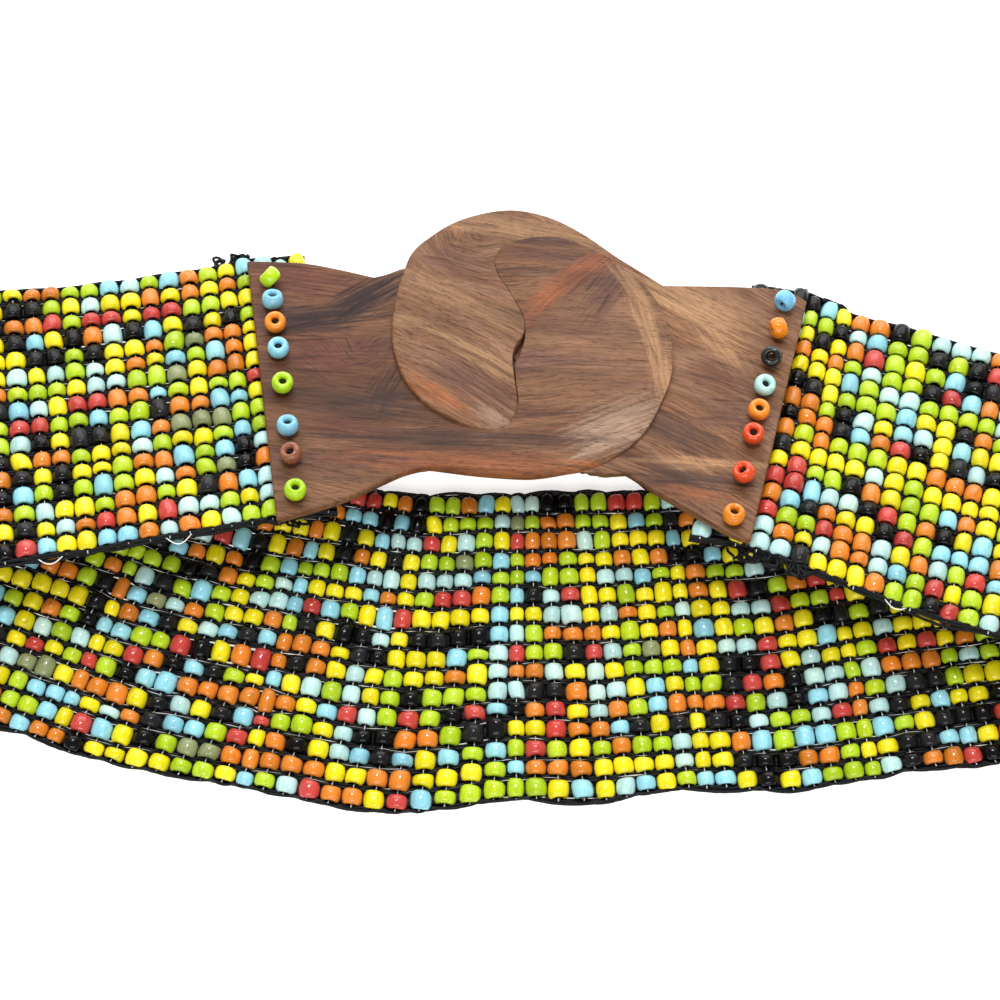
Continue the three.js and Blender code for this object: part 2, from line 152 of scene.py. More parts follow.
class Loop:
    # the strap's middle surface: where it is at a share of its length and a distance across

    def __init__(self):
        rows = loopRows()
        self.middles = np.array([list(r[0]) for r in rows])
        self.acrosses = np.array([list(r[1]) for r in rows])
        self.spreads = np.array([r[2] for r in rows])
        self.shares = np.linspace(0, 1, 801)
        steps = np.diff(curvePoints(self.middles, self.shares), axis=0)
        self.lengths = np.concatenate([[0], np.cumsum(np.linalg.norm(steps, axis=1))])
        self.length = self.lengths[-1]
        self.columns = round(self.length / strap["columnPitch"])
        self.columnEdges = np.linspace(0, 1, self.columns + 1)
        self.columnMiddles = (self.columnEdges[1:] + self.columnEdges[:-1]) / 2

    def space(self, rng):
        # bead columns of slightly different width
        widths = np.clip(rng.normal(1, 0.05, self.columns), 0.88, 1.14)
        widths[rng.random(self.columns) < 0.05] = 0.8
        self.columnEdges = np.concatenate([[0], np.cumsum(widths)]) / widths.sum()
        self.columnMiddles = (self.columnEdges[1:] + self.columnEdges[:-1]) / 2

    def at(self, u):
        t = np.interp(np.asarray(u, float) * self.length, self.lengths, self.shares)
        middle = curvePoints(self.middles, t)
        after = curvePoints(self.middles, np.minimum(t + 1e-4, 1))
        ahead = after - curvePoints(self.middles, np.maximum(t - 1e-4, 0))
        tangent = ahead / np.linalg.norm(ahead, axis=1)[:, None]
        middle[:, 2] = np.maximum(middle[:, 2], strap["thickness"] / 2)
        across = curvePoints(self.acrosses, t)
        across /= np.linalg.norm(across, axis=1)[:, None]
        outward = np.cross(across, tangent)
        outward /= np.linalg.norm(outward, axis=1)[:, None]
        place = t * (len(self.spreads) - 1)
        spread = np.interp(place, range(len(self.spreads)), self.spreads)
        return middle, across, outward, np.cross(outward, across), spread

    def points(self, u, across, outward):
        middle, acrossWay, outwardWay, _, spread = self.at(u)
        side = (np.asarray(across) * spread)[:, None]
        return middle + acrossWay * side + outwardWay * np.asarray(outward)[:, None]


loop = Loop()


def frameShift():
    # from the drawing frame to the row frame, by the strap's own box
    u = np.linspace(0, 1, loop.columns + 1)
    half, thick = strap["width"] / 2, strap["thickness"] / 2
    section = [(half, 0), (-half, 0), (half - thick, thick), (half - thick, -thick),
               (thick - half, thick), (thick - half, -thick)]
    cloud = np.vstack([loop.points(u, np.full(len(u), a), np.full(len(u), o)) for a, o in section])
    low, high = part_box("beaded_strap")
    lowShift = np.array(low) / mm - cloud.min(axis=0)
    highShift = np.array(high) / mm - cloud.max(axis=0)
    print("frame: shift from the low corner", lowShift.round(3), "from the high corner", highShift.round(3))
    shift = (lowShift + highShift) / 2
    shift[2] = 0
    return shift


shift = frameShift()


def placed(points):
    return (np.asarray(points, float) + shift) * mm


class Shading:
    # one node tree, and the ways in which nodes are added to it

    def __init__(self, tree):
        self.tree = tree

    def wire(self, socket, value):
        # a socket takes another node's output or a plain value
        if isinstance(value, bpy.types.NodeSocket):
            self.tree.links.new(value, socket)
        else:
            socket.default_value = value

    def fit(self, node, **values):
        # an underscore stands for the space in a socket's name
        for name, value in values.items():
            self.wire(node.inputs[name.replace("_", " ")], value)
        return node

    def add(self, kind, **settings):
        node = self.tree.nodes.new("ShaderNode" + kind)
        for name, value in settings.items():
            setattr(node, name, value)
        return node

    def work(self, kind, operation, *values):
        node = self.add(kind, operation=operation)
        for socket, value in zip(node.inputs, values):
            self.wire(socket, value)
        isNumber = kind == "Math" or operation in ("LENGTH", "DISTANCE")
        return node.outputs["Value" if isNumber else "Vector"]

    def wrapMap(self):
        return self.add("UVMap", uv_map="wrap").outputs["UV"]

    def turned(self, place, angle):
        node = self.add("VectorRotate", rotation_type="Z_AXIS")
        return self.fit(node, Vector=place, Angle=angle).outputs[0]

    def ranged(self, value, curve, lowest, highest, least, most):
        node = self.add("MapRange", interpolation_type=curve)
        self.fit(node, Value=value, From_Min=lowest, From_Max=highest, To_Min=least, To_Max=most)
        return node.outputs["Result"]

    def noise(self, place, scale, detail, roughness=0.5, distortion=0.0):
        node = self.add("TexNoise")
        self.fit(node, Vector=place, Scale=scale, Detail=detail, Roughness=roughness, Distortion=distortion)
        return node.outputs

    def ramp(self, value, *stops):
        # a grey is given as one number
        node = self.add("ValToRGB")
        elements = node.color_ramp.elements
        while len(elements) < len(stops):
            elements.new(0.5)
        for element, (position, colour) in zip(elements, stops):
            element.position = position
            element.color = (*colour, 1) if isinstance(colour, tuple) else (colour, colour, colour, 1)
        self.wire(node.inputs[0], value)
        return node.outputs["Color"]

    def mix(self, share, first, second, kind="RGBA", blend="MIX"):
        # a Mix node keeps sockets for every kind, so they are picked by place
        node = self.add("Mix", data_type=kind, blend_type=blend)
        place, output = (6, 2) if kind == "RGBA" else (2, 0)
        for index, value in ((0, share), (place, first), (place + 1, second)):
            self.wire(node.inputs[index], value)
        return node.outputs[output]

    def bump(self, height, strength, distance):
        return self.fit(self.add("Bump"), Height=height, Strength=strength, Distance=distance).outputs[0]

    def group(self, tree, **values):
        return self.fit(self.add("Group", node_tree=tree), **values).outputs


def makeMesh(name, points, quads, uvs=None, tones=None):
    mesh = bpy.data.meshes.new(name)
    mesh.vertices.add(len(points))
    mesh.vertices.foreach_set("co", np.asarray(points, np.float32).ravel())
    mesh.loops.add(quads.size)
    mesh.loops.foreach_set("vertex_index", quads.astype(np.int32).ravel())
    mesh.polygons.add(len(quads))
    mesh.polygons.foreach_set("loop_start", np.arange(0, quads.size, quads.shape[1], dtype=np.int32))
    mesh.update(calc_edges=True)
    mesh.polygons.foreach_set("use_smooth", np.ones(len(quads), bool))
    if uvs is not None:
        layer = mesh.uv_layers.new(name="wrap")
        layer.data.foreach_set("uv", np.asarray(uvs, np.float32).ravel())
    if tones is not None:
        tone = mesh.attributes.new("tone", "FLOAT", "POINT")
        tone.data.foreach_set("value", np.asarray(tones, np.float32))
    mesh.validate()
    return mesh


def makePiece(name, mesh, material, slot, *nodes):
    piece = bpy.data.objects.new(name, mesh)
    bpy.context.scene.collection.objects.link(piece)
    mesh.materials.append(material)
    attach(piece, "root")
    if nodes:
        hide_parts(*nodes)
    return piece


def newMaterial(name):
    material = bpy.data.materials.new(name)
    material.use_nodes = True
    return material, Shading(material.node_tree), material.node_tree.nodes["Principled BSDF"]


def newGroup(name, taken, given):
    # a node group with named sockets, with where its values come in and where they go out
    tree = bpy.data.node_groups.new(name, "ShaderNodeTree")
    for way, sockets in (("INPUT", taken), ("OUTPUT", given)):
        for socket, kind in sockets.items():
            tree.interface.new_socket(socket, in_out=way, socket_type="NodeSocket" + kind)
    source, result = tree.nodes.new("NodeGroupInput"), tree.nodes.new("NodeGroupOutput")
    return Shading(tree), source.outputs, result.inputs


def linear(red, green, blue):
    def one(value):
        share = value / 255
        return share / 12.92 if share <= 0.04045 else ((share + 0.055) / 1.055) ** 2.4
    return one(red), one(green), one(blue)


def sleeve(rings, sides, closed, run):
    # the quads between rings of points and the wrap of their corners; run is where each ring lies
    i, j = np.meshgrid(np.arange(rings if closed else rings - 1), np.arange(sides), indexing="ij")
    following, beside = (i + 1) % rings, (j + 1) % sides
    quads = np.stack([
        i * sides + j, i * sides + beside, following * sides + beside, following * sides + j,
    ], -1)
    corners = ((j, i), (j + 1, i), (j + 1, following), (j, following))
    uvs = np.stack([np.stack([turn / sides, run[ring]], -1) for turn, ring in corners], 2)
    return quads.reshape(-1, 4), uvs.reshape(-1, 4, 2)


# Beads: each is a barrel whose hole runs across the strap. Pairs are a mean and its scatter, or the
# least and the most; longer and shorter give the chance to compare with and the push at each end
bead = {
    "sides": 12,
    "profile": [(0.3, -0.45), (0.58, -0.5), (0.84, -0.44), (0.965, -0.26), (1, 0),
                (0.965, 0.26), (0.84, 0.44), (0.58, 0.5), (0.3, 0.45)],
    "fill": (0.985, 0.022),
    "girth": (3.1, 4.6),
    "barrel": (0.35, 1.35),
    "shear": 0.06,
    "tip": 0.045,
    "tipped": (0.08, 2.4),
    "lift": 0.07,
    "cordGap": 0.95,
    "tightGap": 0.62,
    "tightAfter": (0.7, 0.1),
    "wander": 0.2,
    "jitter": 0.16,
    "outerCalm": 0.85,
    "outerJitter": 0.2,
    "longer": (0.06, 0.35, 0.6),
    "shorter": (0.935, 0.2, 0.35),
    "shortest": 2.9,
    "askewLeft": [3.2, 2.5, 1.6, 0.7, 0.2],
    "askewRight": [0.3, 1.0, 1.8, 2.6],
    "again": 0.09,
    "gloss": 0.42,
    "blackGloss": 0.17,
    "colours": {
        "yellow": (0.245, (229, 213, 14)),
        "lime": (0.185, (170, 199, 24)),
        "light_blue": (0.105, (138, 201, 216)),
        "ice": (0.105, (178, 216, 212)),
        "orange": (0.145, (208, 120, 30)),
        "red": (0.08, (184, 58, 50)),
        "black": (0.14, (6, 6, 8)),
        "olive": (0.015, (128, 136, 92)),
    },
}


def rowEdges(rng):
    # where the cords run between the bead rows, column by column
    rows, columns = strap["rows"], loop.columns
    edges = np.empty((rows + 1, columns))
    slow = rng.normal(0, 1, (rows + 1, columns + 8))
    kernel = np.array([1, 2, 3, 3, 2, 1], float)
    kernel /= np.sqrt(np.sum(kernel ** 2))
    for r in range(rows + 1):
        wander = np.convolve(slow[r], kernel, "same")[4:4 + columns]
        calm = bead["outerCalm"] if r in (0, rows) else 1
        stray = bead["wander"] * wander + rng.normal(0, bead["jitter"], columns)
        edges[r] = (r - rows / 2) * strap["rowPitch"] + calm * stray
    below, *longer = bead["longer"]
    above, *shorter = bead["shorter"]
    for c in range(columns):
        for r in range(1, rows - 1):
            chance = rng.random()
            if chance < below:
                push = rng.uniform(*longer)
            elif chance > above:
                push = -rng.uniform(*shorter)
            else:
                continue
            edges[r, c] -= push
            edges[r + 1, c] += push
    outer = np.random.default_rng(58)
    for r in (0, rows):
        edges[r] += outer.normal(0, bead["outerJitter"], columns)
    for r in range(rows):
        edges[r + 1] += np.maximum(0, bead["shortest"] - (edges[r + 1] - edges[r]))
    # both ends run askew under the plates, so the far edge peeks out past them
    left, right = np.array(bead["askewLeft"]), np.array(bead["askewRight"])
    edges[:, :len(left)] += left
    edges[:, -len(right):] += right
    return edges


def chooseColours(rng):
    names = list(bead["colours"])
    shares = np.array([bead["colours"][n][0] for n in names])
    shares /= shares.sum()
    picks = rng.choice(len(names), size=(strap["rows"], loop.columns), p=shares)
    # threaded a few at a time, so now and then a colour follows itself
    again = rng.random(picks.shape) < bead["again"]
    picks[:, 1:] = np.where(again[:, 1:], picks[:, :-1], picks[:, 1:])
    return names, picks


def beadMesh(name, rows, columns, edges, rng):
    count, sides = len(rows), bead["sides"]
    girth, place = np.array(bead["profile"]).T
    u = loop.columnMiddles[columns]
    # the rows lie closer together in the strap on the right
    start, change = bead["tightAfter"]
    tight = np.clip((u - start) / change, 0, 1)
    gap = bead["cordGap"] + (bead["tightGap"] - bead["cordGap"]) * tight
    length = edges[rows + 1, columns] - edges[rows, columns] - gap
    centre = (edges[rows + 1, columns] + edges[rows, columns]) / 2
    middle, across, outward, tangent, spread = loop.at(u)
    aside = centre[:, None] * spread[:, None]
    before, beforeAcross = loop.at(loop.columnEdges[columns])[:2]
    after, afterAcross = loop.at(loop.columnEdges[columns + 1])[:2]
    pitch = np.linalg.norm(after + afterAcross * aside - before - beforeAcross * aside, axis=1)
    lift = rng.normal(0, bead["lift"], count)[:, None]
    middle = middle + across * (centre * spread)[:, None] + outward * lift
    length = length * spread
    radius = np.clip(pitch * rng.normal(*bead["fill"], count), *bead["girth"]) / 2
    barrel = rng.uniform(*bead["barrel"], count)
    shear = rng.normal(0, bead["shear"], (2, count))[..., None, None]
    chance, more = bead["tipped"]
    tip = rng.normal(0, bead["tip"], (2, count)) * np.where(rng.random(count) < chance, more, 1)
    angles = np.arange(sides) / sides * 2 * math.pi + rng.uniform(0, 2 * math.pi, count)[:, None]
    # the hole's rim is drawn less deep, and the belly is rounder on some beads than on others
    shares = 1 - (1 - girth) * np.where(girth > 0.5, 1, 0.6) * np.where(girth > 0.9, barrel[:, None], 1)
    ring = (radius[:, None] * shares)[:, :, None]
    x = ring * np.cos(angles)[:, None, :]
    y = ring * np.sin(angles)[:, None, :]
    ends = (place * 2)[None, :, None]
    z = (length[:, None] * place)[:, :, None] + x * shear[0] * ends + y * shear[1] * ends
    x = x + z * tip[0][:, None, None]
    y = y + z * tip[1][:, None, None]
    points = (middle[:, None, None, :] + tangent[:, None, None, :] * x[..., None]
              + outward[:, None, None, :] * y[..., None] + across[:, None, None, :] * z[..., None])
    points[..., 2] = np.maximum(points[..., 2], 0.02)
    # turned about, so that the faces look outwards
    quad, uv = (part[:, [0, 3, 2, 1]] for part in sleeve(len(place), sides, True, place + 0.5))
    size = len(place) * sides
    quads = (quad[None] + (np.arange(count) * size)[:, None, None]).reshape(-1, 4)
    uvs = np.broadcast_to(uv[None], (count, *uv.shape))
    return makeMesh(name, placed(points.reshape(-1, 3)), quads, uvs, np.repeat(rng.random(count), size))


def beadStreaks():
    # faint drawn lines along a pressed bead, from one bead's wrap and tone
    shading, given, result = newGroup(
        "beadStreaks", {"Wrap": "Vector", "Tone": "Float"}, {"Streaks": "Float", "Dust": "Float"})
    far = shading.work("Math", "MULTIPLY", given["Tone"], 97)
    offset = shading.fit(shading.add("CombineXYZ"), Z=far).outputs[0]
    for name, stretch, texture in (("Streaks", (9, 0.9, 1), (1.6, 3, 0.6)), ("Dust", (12, 4, 1), (5, 2, 0.5))):
        place = shading.work("VectorMath", "MULTIPLY_ADD", given["Wrap"], stretch, offset)
        shading.wire(result[name], shading.noise(place, *texture)["Fac"])
    return shading.tree


streaksGroup = beadStreaks()


def beadMaterial(name, rgb, gloss):
    material, shading, shader = newMaterial("glass_" + name)
    colour = linear(*rgb)
    tone = shading.add("Attribute", attribute_name="tone").outputs["Fac"]
    streaks = shading.group(streaksGroup, Wrap=shading.wrapMap(), Tone=tone)
    dark = tuple(v * 0.8 for v in colour)
    warm = tuple(min(1, v * f) for v, f in zip(colour, (1.1, 1.0, 0.9)))
    light = tuple(min(1, v * 1.05 + 0.012) for v in colour)
    glass = shading.ramp(tone, (0, dark), (0.35, colour), (0.7, light), (1, warm))
    drawn = shading.ramp(streaks["Streaks"], (0.3, 0.72), (0.5, 1), (0.72, 1.04))
    shading.fit(
        shader, Base_Color=shading.mix(0.75, glass, drawn, blend="MULTIPLY"),
        Roughness=shading.ramp(streaks["Dust"], (0.35, 0.11), (0.7, 0.26)),
        Normal=shading.bump(streaks["Streaks"], 0.25, 0.00012),
        IOR=1.5, Specular_IOR_Level=gloss, Coat_Weight=0.12, Coat_Roughness=0.06)
    return material


beadRandom = np.random.default_rng(4117)
loop.space(beadRandom)
edges = rowEdges(beadRandom)
colourNames, colourPicks = chooseColours(beadRandom)
beadTotal = 0
for index, colourName in enumerate(colourNames):
    rowsOf, columnsOf = np.nonzero(colourPicks == index)
    name = "beads_" + colourName
    mesh = beadMesh(name, rowsOf, columnsOf, edges, beadRandom)
    gloss = bead["blackGloss" if colourName == "black" else "gloss"]
    material = beadMaterial(colourName, bead["colours"][colourName][1], gloss)
    makePiece(name, mesh, material, "glass_strap", "beaded_strap")
    beadTotal += len(rowsOf)
print("beads:", beadTotal, "in", loop.columns, "columns; loop", round(loop.length, 1), "mm")


def tubeMesh(name, paths, sides):
    # one mesh of many tubes; a path is points with two side directions and a radius
    allPoints, allQuads, allUvs, base = [], [], [], 0
    angles = (np.arange(sides) / sides * 2 * math.pi)[None, :, None]
    for points, sideA, sideB, radius in paths:
        ring = sideA[:, None, :] * np.cos(angles) + sideB[:, None, :] * np.sin(angles)
        allPoints.append((points[:, None, :] + ring * radius).reshape(-1, 3))
        run = np.concatenate([[0], np.cumsum(np.linalg.norm(np.diff(points, axis=0), axis=1))])
        quads, uvs = sleeve(len(points), sides, False, run)
        allQuads.append(quads + base)
        allUvs.append(uvs)
        base += len(points) * sides
    return makeMesh(name, placed(np.vstack(allPoints)), np.vstack(allQuads), np.vstack(allUvs))


def dressStrap(name, paths, sides, material, slot):
    makePiece(name, tubeMesh(name, paths, sides), material, slot, "beaded_strap")


def freePath(points, radius):
    # side directions for a path that turns freely
    points = np.asarray(points, float)
    ahead = np.gradient(points, axis=0)
    ahead /= np.linalg.norm(ahead, axis=1)[:, None]
    reference = np.array([0.13, 0.21, 0.97])
    sideA = np.cross(ahead, reference)
    sideA /= np.linalg.norm(sideA, axis=1)[:, None]
    return points, sideA, np.cross(ahead, sideA), radius


# Elastic cords: run lengthwise between the bead rows, and arch over the outer beads at both edges
cord = {
    "strand": 0.33,
    "apart": 0.32,
    "waver": (0.045, 0.12),
    "inner": (1.75, 0.25),
    "edgeStrand": 0.36,
    "spans": (0.35, 0.35, 0.2, 0.1),
    "bulge": (0.22, 0.5),
    "setIn": 0.36,
    "stack": 0.34,
    "edgeWaver": 0.03,
    "sides": 5,
}


def warpPaths(rng):
    u = np.sort(np.concatenate([loop.columnEdges, loop.columnMiddles]))
    middle, across, outward, _, spread = loop.at(u)
    sideways, upwards = cord["waver"]
    paths = []
    for r in range(1, strap["rows"]):
        line = np.interp(u, loop.columnMiddles, edges[r])
        for offset in (cord["apart"], -cord["apart"]):
            side = (line + offset + rng.normal(0, sideways, len(u))) * spread
            points = middle + across * side[:, None] + outward * rng.normal(0, upwards, len(u))[:, None]
            paths.append((points, across, outward, cord["strand"]))
    return paths


def shadeStrandPaths():
    # painted shade: dark flat strands through the middle of the beads, seen only as the dark between two of them, where
    # the shade under the belt would be
    middle, across, outward, _, spread = loop.at(loop.columnEdges)
    wide, thick = cord["inner"]
    paths = []
    for r in range(strap["rows"]):
        line = np.interp(loop.columnEdges, loop.columnMiddles, (edges[r] + edges[r + 1]) / 2)
        points = middle + across * (line * spread)[:, None]
        paths.append((points, across * wide, outward * thick, 1))
    return paths


def arches(rng, share):
    # arches over one to four beads, tied down between them
    rise = np.zeros(len(share))
    start = 0
    while start < loop.columns:
        span = rng.choice([1, 2, 3, 4], p=cord["spans"])
        t = np.clip((share - start) / span, 0, 1)
        rise += rng.uniform(*cord["bulge"]) * (0.7 + 0.5 * span) * np.sin(t * math.pi) ** 0.8
        start += span
    return rise


def edgePaths(rng):
    columns, perColumn = loop.columns, 5
    steps = perColumn * columns + 1
    share = np.arange(steps) / perColumn
    u = np.interp(share, np.arange(columns + 1), loop.columnEdges)
    middle, across, outward, _, spread = loop.at(u)
    paths = []
    for r, out in ((0, -1), (strap["rows"], 1)):
        calm = np.convolve(np.pad(edges[r], 1, "edge"), (0.25, 0.5, 0.25), "valid")
        runs = np.interp(u, loop.columnMiddles, calm)
        near, far = arches(rng, share), arches(rng, share)
        # four strands, the last one drawn tight
        for strand, rise in enumerate((near, far * 0.7, near * 0.45, 0)):
            side = (runs + out * (rise - cord["setIn"]) + rng.normal(0, cord["edgeWaver"], steps)) * spread
            lift = (strand - 1.5) * cord["stack"] + 0.25 * (near - 0.3)
            points = middle + across * side[:, None] + outward * lift[:, None]
            points[:, 2] = np.maximum(points[:, 2], cord["edgeStrand"] + 0.05)
            paths.append((points, across, outward, cord["edgeStrand"]))
    return paths


# the black of the elastic cords, used also for the strands of painted shade between the beads
def blackCordAndShadeMaterial():
    material, shading, shader = newMaterial("elastic_cord")
    spun = shading.add("TexWave", bands_direction="DIAGONAL")
    shading.fit(spun, Vector=shading.wrapMap(), Scale=1.4, Distortion=1.2, Detail=2, Detail_Scale=2)
    turns = spun.outputs["Fac"]
    shading.fit(
        shader, Base_Color=shading.ramp(turns, (0.1, 0.002), (0.9, (0.01, 0.0105, 0.012))),
        Normal=shading.bump(turns, 0.25, 0.00008), Roughness=0.4, Specular_IOR_Level=0.12)
    return material


elastic = blackCordAndShadeMaterial()
cordRandom = np.random.default_rng(902)
# the flat strands through the beads are painted shade, in the cord's black
for name, paths, sides in (
        ("warp_cords", warpPaths(cordRandom), cord["sides"]), ("painted_shade_strands", shadeStrandPaths(), 4),
        ("edge_cords", edgePaths(cordRandom), cord["sides"])):
    dressStrap(name, paths, sides, elastic, "elastic_cord")
print("cords: warp and edge done")

# Nylon threads: one pass over and one under the cords, from bead to bead across the strap
thread = {"radius": 0.12, "reach": 0.7, "rise": 0.75, "vary": (0.75, 1.2), "sway": 0.12, "foot": 0.15, "sides": 4}


def threadPaths(rng):
    middle, across, outward, tangent, spread = loop.at(loop.columnMiddles)
    reach, foot = thread["reach"], thread["foot"]
    paths = []
    for c in range(loop.columns):
        for r in range(strap["rows"] + 1):
            # the outermost ones end in the edge cords
            ends = {0: (-foot, 0.1, reach), strap["rows"]: (-reach, -0.1, foot)}.get(r, (-reach, 0, reach))
            for face in (1, -1):
                rise = thread["rise"] * rng.uniform(*thread["vary"]) * face
                sway = rng.normal(0, thread["sway"])
                points = np.array([
                    middle[c] + across[c] * (edges[r, c] + end) * spread[c] + outward[c] * height + tangent[c] * sway
                    for end, height in zip(ends, (foot * face, rise, foot * face))
                ])
                side, up = np.broadcast_to(tangent[c], (3, 3)), np.broadcast_to(outward[c], (3, 3))
                paths.append((points, side, up, thread["radius"]))
    return paths


def threadMaterial():
    material, shading, shader = newMaterial("nylon_thread")
    mist = shading.noise(shading.wrapMap(), 3, 2)["Fac"]
    shade = shading.ramp(mist, (0.3, (0.62, 0.63, 0.6)), (0.7, (0.9, 0.9, 0.88)))
    shading.fit(shader, Base_Color=shade, Roughness=0.22, IOR=1.5)
    return material


nylon = threadMaterial()
dressStrap("weft_threads", threadPaths(np.random.default_rng(77)), thread["sides"], nylon, "nylon_thread")
print("threads: weft passes done")


# Clasp halves: carved blocks over these edges, in shares of half the length and half the width
claspEdges = {
    "leftTop": [(-0.985, 0.906), (-0.784, 0.918), (-0.65, 0.885), (-0.525, 0.838)],
    "leftShoulder": [(-0.525, 0.838), (-0.48, 0.87), (-0.4, 0.945), (-0.3, 0.985)],
    "leftSide": [(-0.985, 0.906), (-0.756, -1.09)],
    "leftBottom": [(-0.756, -1.09), (-0.54, -0.91), (-0.35, -0.685), (-0.26, -0.625)],
    "lobe": [
        (-0.26, -0.625), (-0.08, -0.648), (0.1, -0.643), (0.257, -0.59), (0.366, -0.475), (0.463, -0.282),
        (0.532, 0.04), (0.551, 0.27), (0.535, 0.5), (0.5, 0.705), (0.44, 0.868), (0.362, 0.99),
        (0.28, 1.105), (0.2, 1.185), (0.127, 1.23), (0.055, 1.226), (-0.01, 1.19), (-0.075, 1.12),
        (-0.102, 0.985),
    ],
    "leftSlit": [
        (-0.102, 0.985), (-0.08, 0.86), (-0.036, 0.726), (0.016, 0.53), (0.029, 0.37), (0.016, 0.23),
        (0.002, 0.153), (0.01, 0.012), (0.023, -0.144), (0.002, -0.3),
    ],
    "rightSlit": [
        (-0.102, 0.985), (-0.08, 0.86), (-0.036, 0.726), (0.016, 0.53), (0.026, 0.4), (-0.003, 0.27),
        (-0.006, 0.153), (0.008, 0.012), (0.023, -0.144), (0.002, -0.3),
    ],
    "headSide": [
        (0.002, -0.3), (-0.035, -0.342), (-0.09, -0.345), (-0.16, -0.318), (-0.24, -0.25), (-0.32, -0.13),
        (-0.385, 0.03), (-0.427, 0.235), (-0.441, 0.42), (-0.44, 0.66), (-0.42, 0.9),
    ],
    "headTop": [
        (-0.42, 0.9), (-0.403, 1.035), (-0.355, 1.17), (-0.24, 1.36), (-0.078, 1.47), (0.068, 1.432),
        (0.198, 1.305), (0.346, 1.094), (0.507, 0.909),
    ],
    "rightTop": [(0.507, 0.909), (0.64, 0.935), (0.855, 0.95), (0.955, 0.93), (1.02, 0.862)],
    "rightSide": [(1.02, 0.862), (0.836, -1.017)],
    "rightBottom": [(0.836, -1.017), (0.78, -0.99), (0.697, -0.906), (0.54, -0.735), (0.407, -0.582)],
    "rightTuck": [(0.407, -0.582), (0.33, -0.6), (0.262, -0.575)],
    "parting": [
        (0.262, -0.575), (0.165, -0.36), (0.08, -0.09), (0, 0.235), (-0.1, 0.53), (-0.2, 0.78),
        (-0.3, 0.985),
    ],
}
carving = {
    "step": 0.75,
    "grid": 1.0,
    "gridRim": 1.25,
    "gridPlate": 0.4,
    "seam": 0.008,
    "rings": (0.1, 0.28, 0.55, 0.95),
    "headHeight": 5.8,
    "crownDrop": 2.6,
    "crownRadius": 37,
    "crown": (0.05, 0.36),
    "under": 0.3,
    "undercut": 0.7,
    "lobeUndercut": 0.9,
    "tuckUndercut": 1.1,
    "hole": 0.8,
    "holeInset": 4.6,
}
halfSize = np.array([clasp["length"] / 2, clasp["width"] / 2])
# across, lie, turn, colour: share of half the width, and degrees tipped over and turned round
stoppers = {
    "left": [
        (0.72, 62, 150, "lime"), (0.55, 16, 90, "light_blue"), (0.367, 14, 270, "orange"),
        (0.17, 6, 280, "light_blue"), (-0.105, 12, 300, "lime"), (-0.43, 10, 90, "light_blue"),
        (-0.64, 14, 210, "copper"), (-0.905, 5, 0, "lime"),
    ],
    "right": [
        (0.79, 90, 55, "blue"), (0.565, 84, 20, "orange"), (0.335, 40, 250, "black"), (0.112, 18, 310, "ice"),
        (-0.08, 10, 300, "orange"), (-0.268, 14, 270, "red_orange"), (-0.568, 26, 190, "red_orange"),
        (-0.88, 6, 45, "orange"),
    ],
}


def edgeLine(name, inset=0, backwards=False):
    # a named edge as fine points, moved to the left of its direction
    places = np.array(claspEdges[name]) * halfSize
    if len(places) == 2:
        dense = places[0] + (places[1] - places[0]) * np.linspace(0, 1, 60)[:, None]
    else:
        ends = np.vstack([places[:1], places, places[-1:]])
        t = np.linspace(0, 1, 24, endpoint=False)[:, None]
        runs = []
        for i in range(len(places) - 1):
            p0, p1, p2, p3 = ends[i:i + 4]
            v0, v1 = (p2 - p0) / 2, (p3 - p1) / 2
            cubic = (2 * p1 - 2 * p2 + v0 + v1) * t ** 3
            runs.append(cubic + (-3 * p1 + 3 * p2 - 2 * v0 - v1) * t ** 2 + v0 * t + p1)
        dense = np.vstack(runs + [places[-1:]])
    run = np.concatenate([[0], np.cumsum(np.linalg.norm(np.diff(dense, axis=0), axis=1))])
    count = max(2, round(run[-1] / carving["step"]))
    at = np.linspace(0, run[-1], count + 1)
    line = np.column_stack([np.interp(at, run, dense[:, k]) for k in (0, 1)])
    ahead = np.gradient(line, axis=0)
    ahead /= np.linalg.norm(ahead, axis=1)[:, None]
    line = line + inset * np.column_stack([-ahead[:, 1], ahead[:, 0]])
    return line[::-1] if backwards else line


def joined(*runs):
    # one closed outline, with the rim radius of the run that each point belongs to
    points = np.vstack([line for line, radius in runs])
    radii = np.concatenate([np.full(len(line), radius) if np.isscalar(radius) else radius for line, radius in runs])
    apart = np.linalg.norm(points - np.roll(points, -1, axis=0), axis=1) > 0.12
    points, radii = points[apart], radii[apart]
    ahead = np.roll(points, -1, axis=0)
    filled, rims = [], []
    for point, following, radius in zip(points, ahead, radii):
        count = max(1, math.ceil(np.linalg.norm(following - point) / (1.4 * carving["step"])))
        filled.append(point + (following - point) * (np.arange(count) / count)[:, None])
        rims.append(np.full(count, radius))
    return np.vstack(filled), np.concatenate(rims)


def stopperPlace(side, across):
    (topX, topY), (lowX, lowY) = clasp[side + "Side"]
    share = (topY - across) / (topY - lowY)
    inwards = 1 if side == "left" else -1
    along = (topX + (lowX - topX) * share) * halfSize[0] + inwards * carving["holeInset"]
    return np.array([along, across * halfSize[1]])


def lobeRim(line):
    # soft where the lobe is free below, nearly flush where it meets the other half
    free = np.clip((-14 - line[:, 1]) / 5, 0, 1)
    right = np.clip((8 - line[:, 1]) / 22, 0, 1)
    return 0.02 + 0.2 * right + 1.0 * free


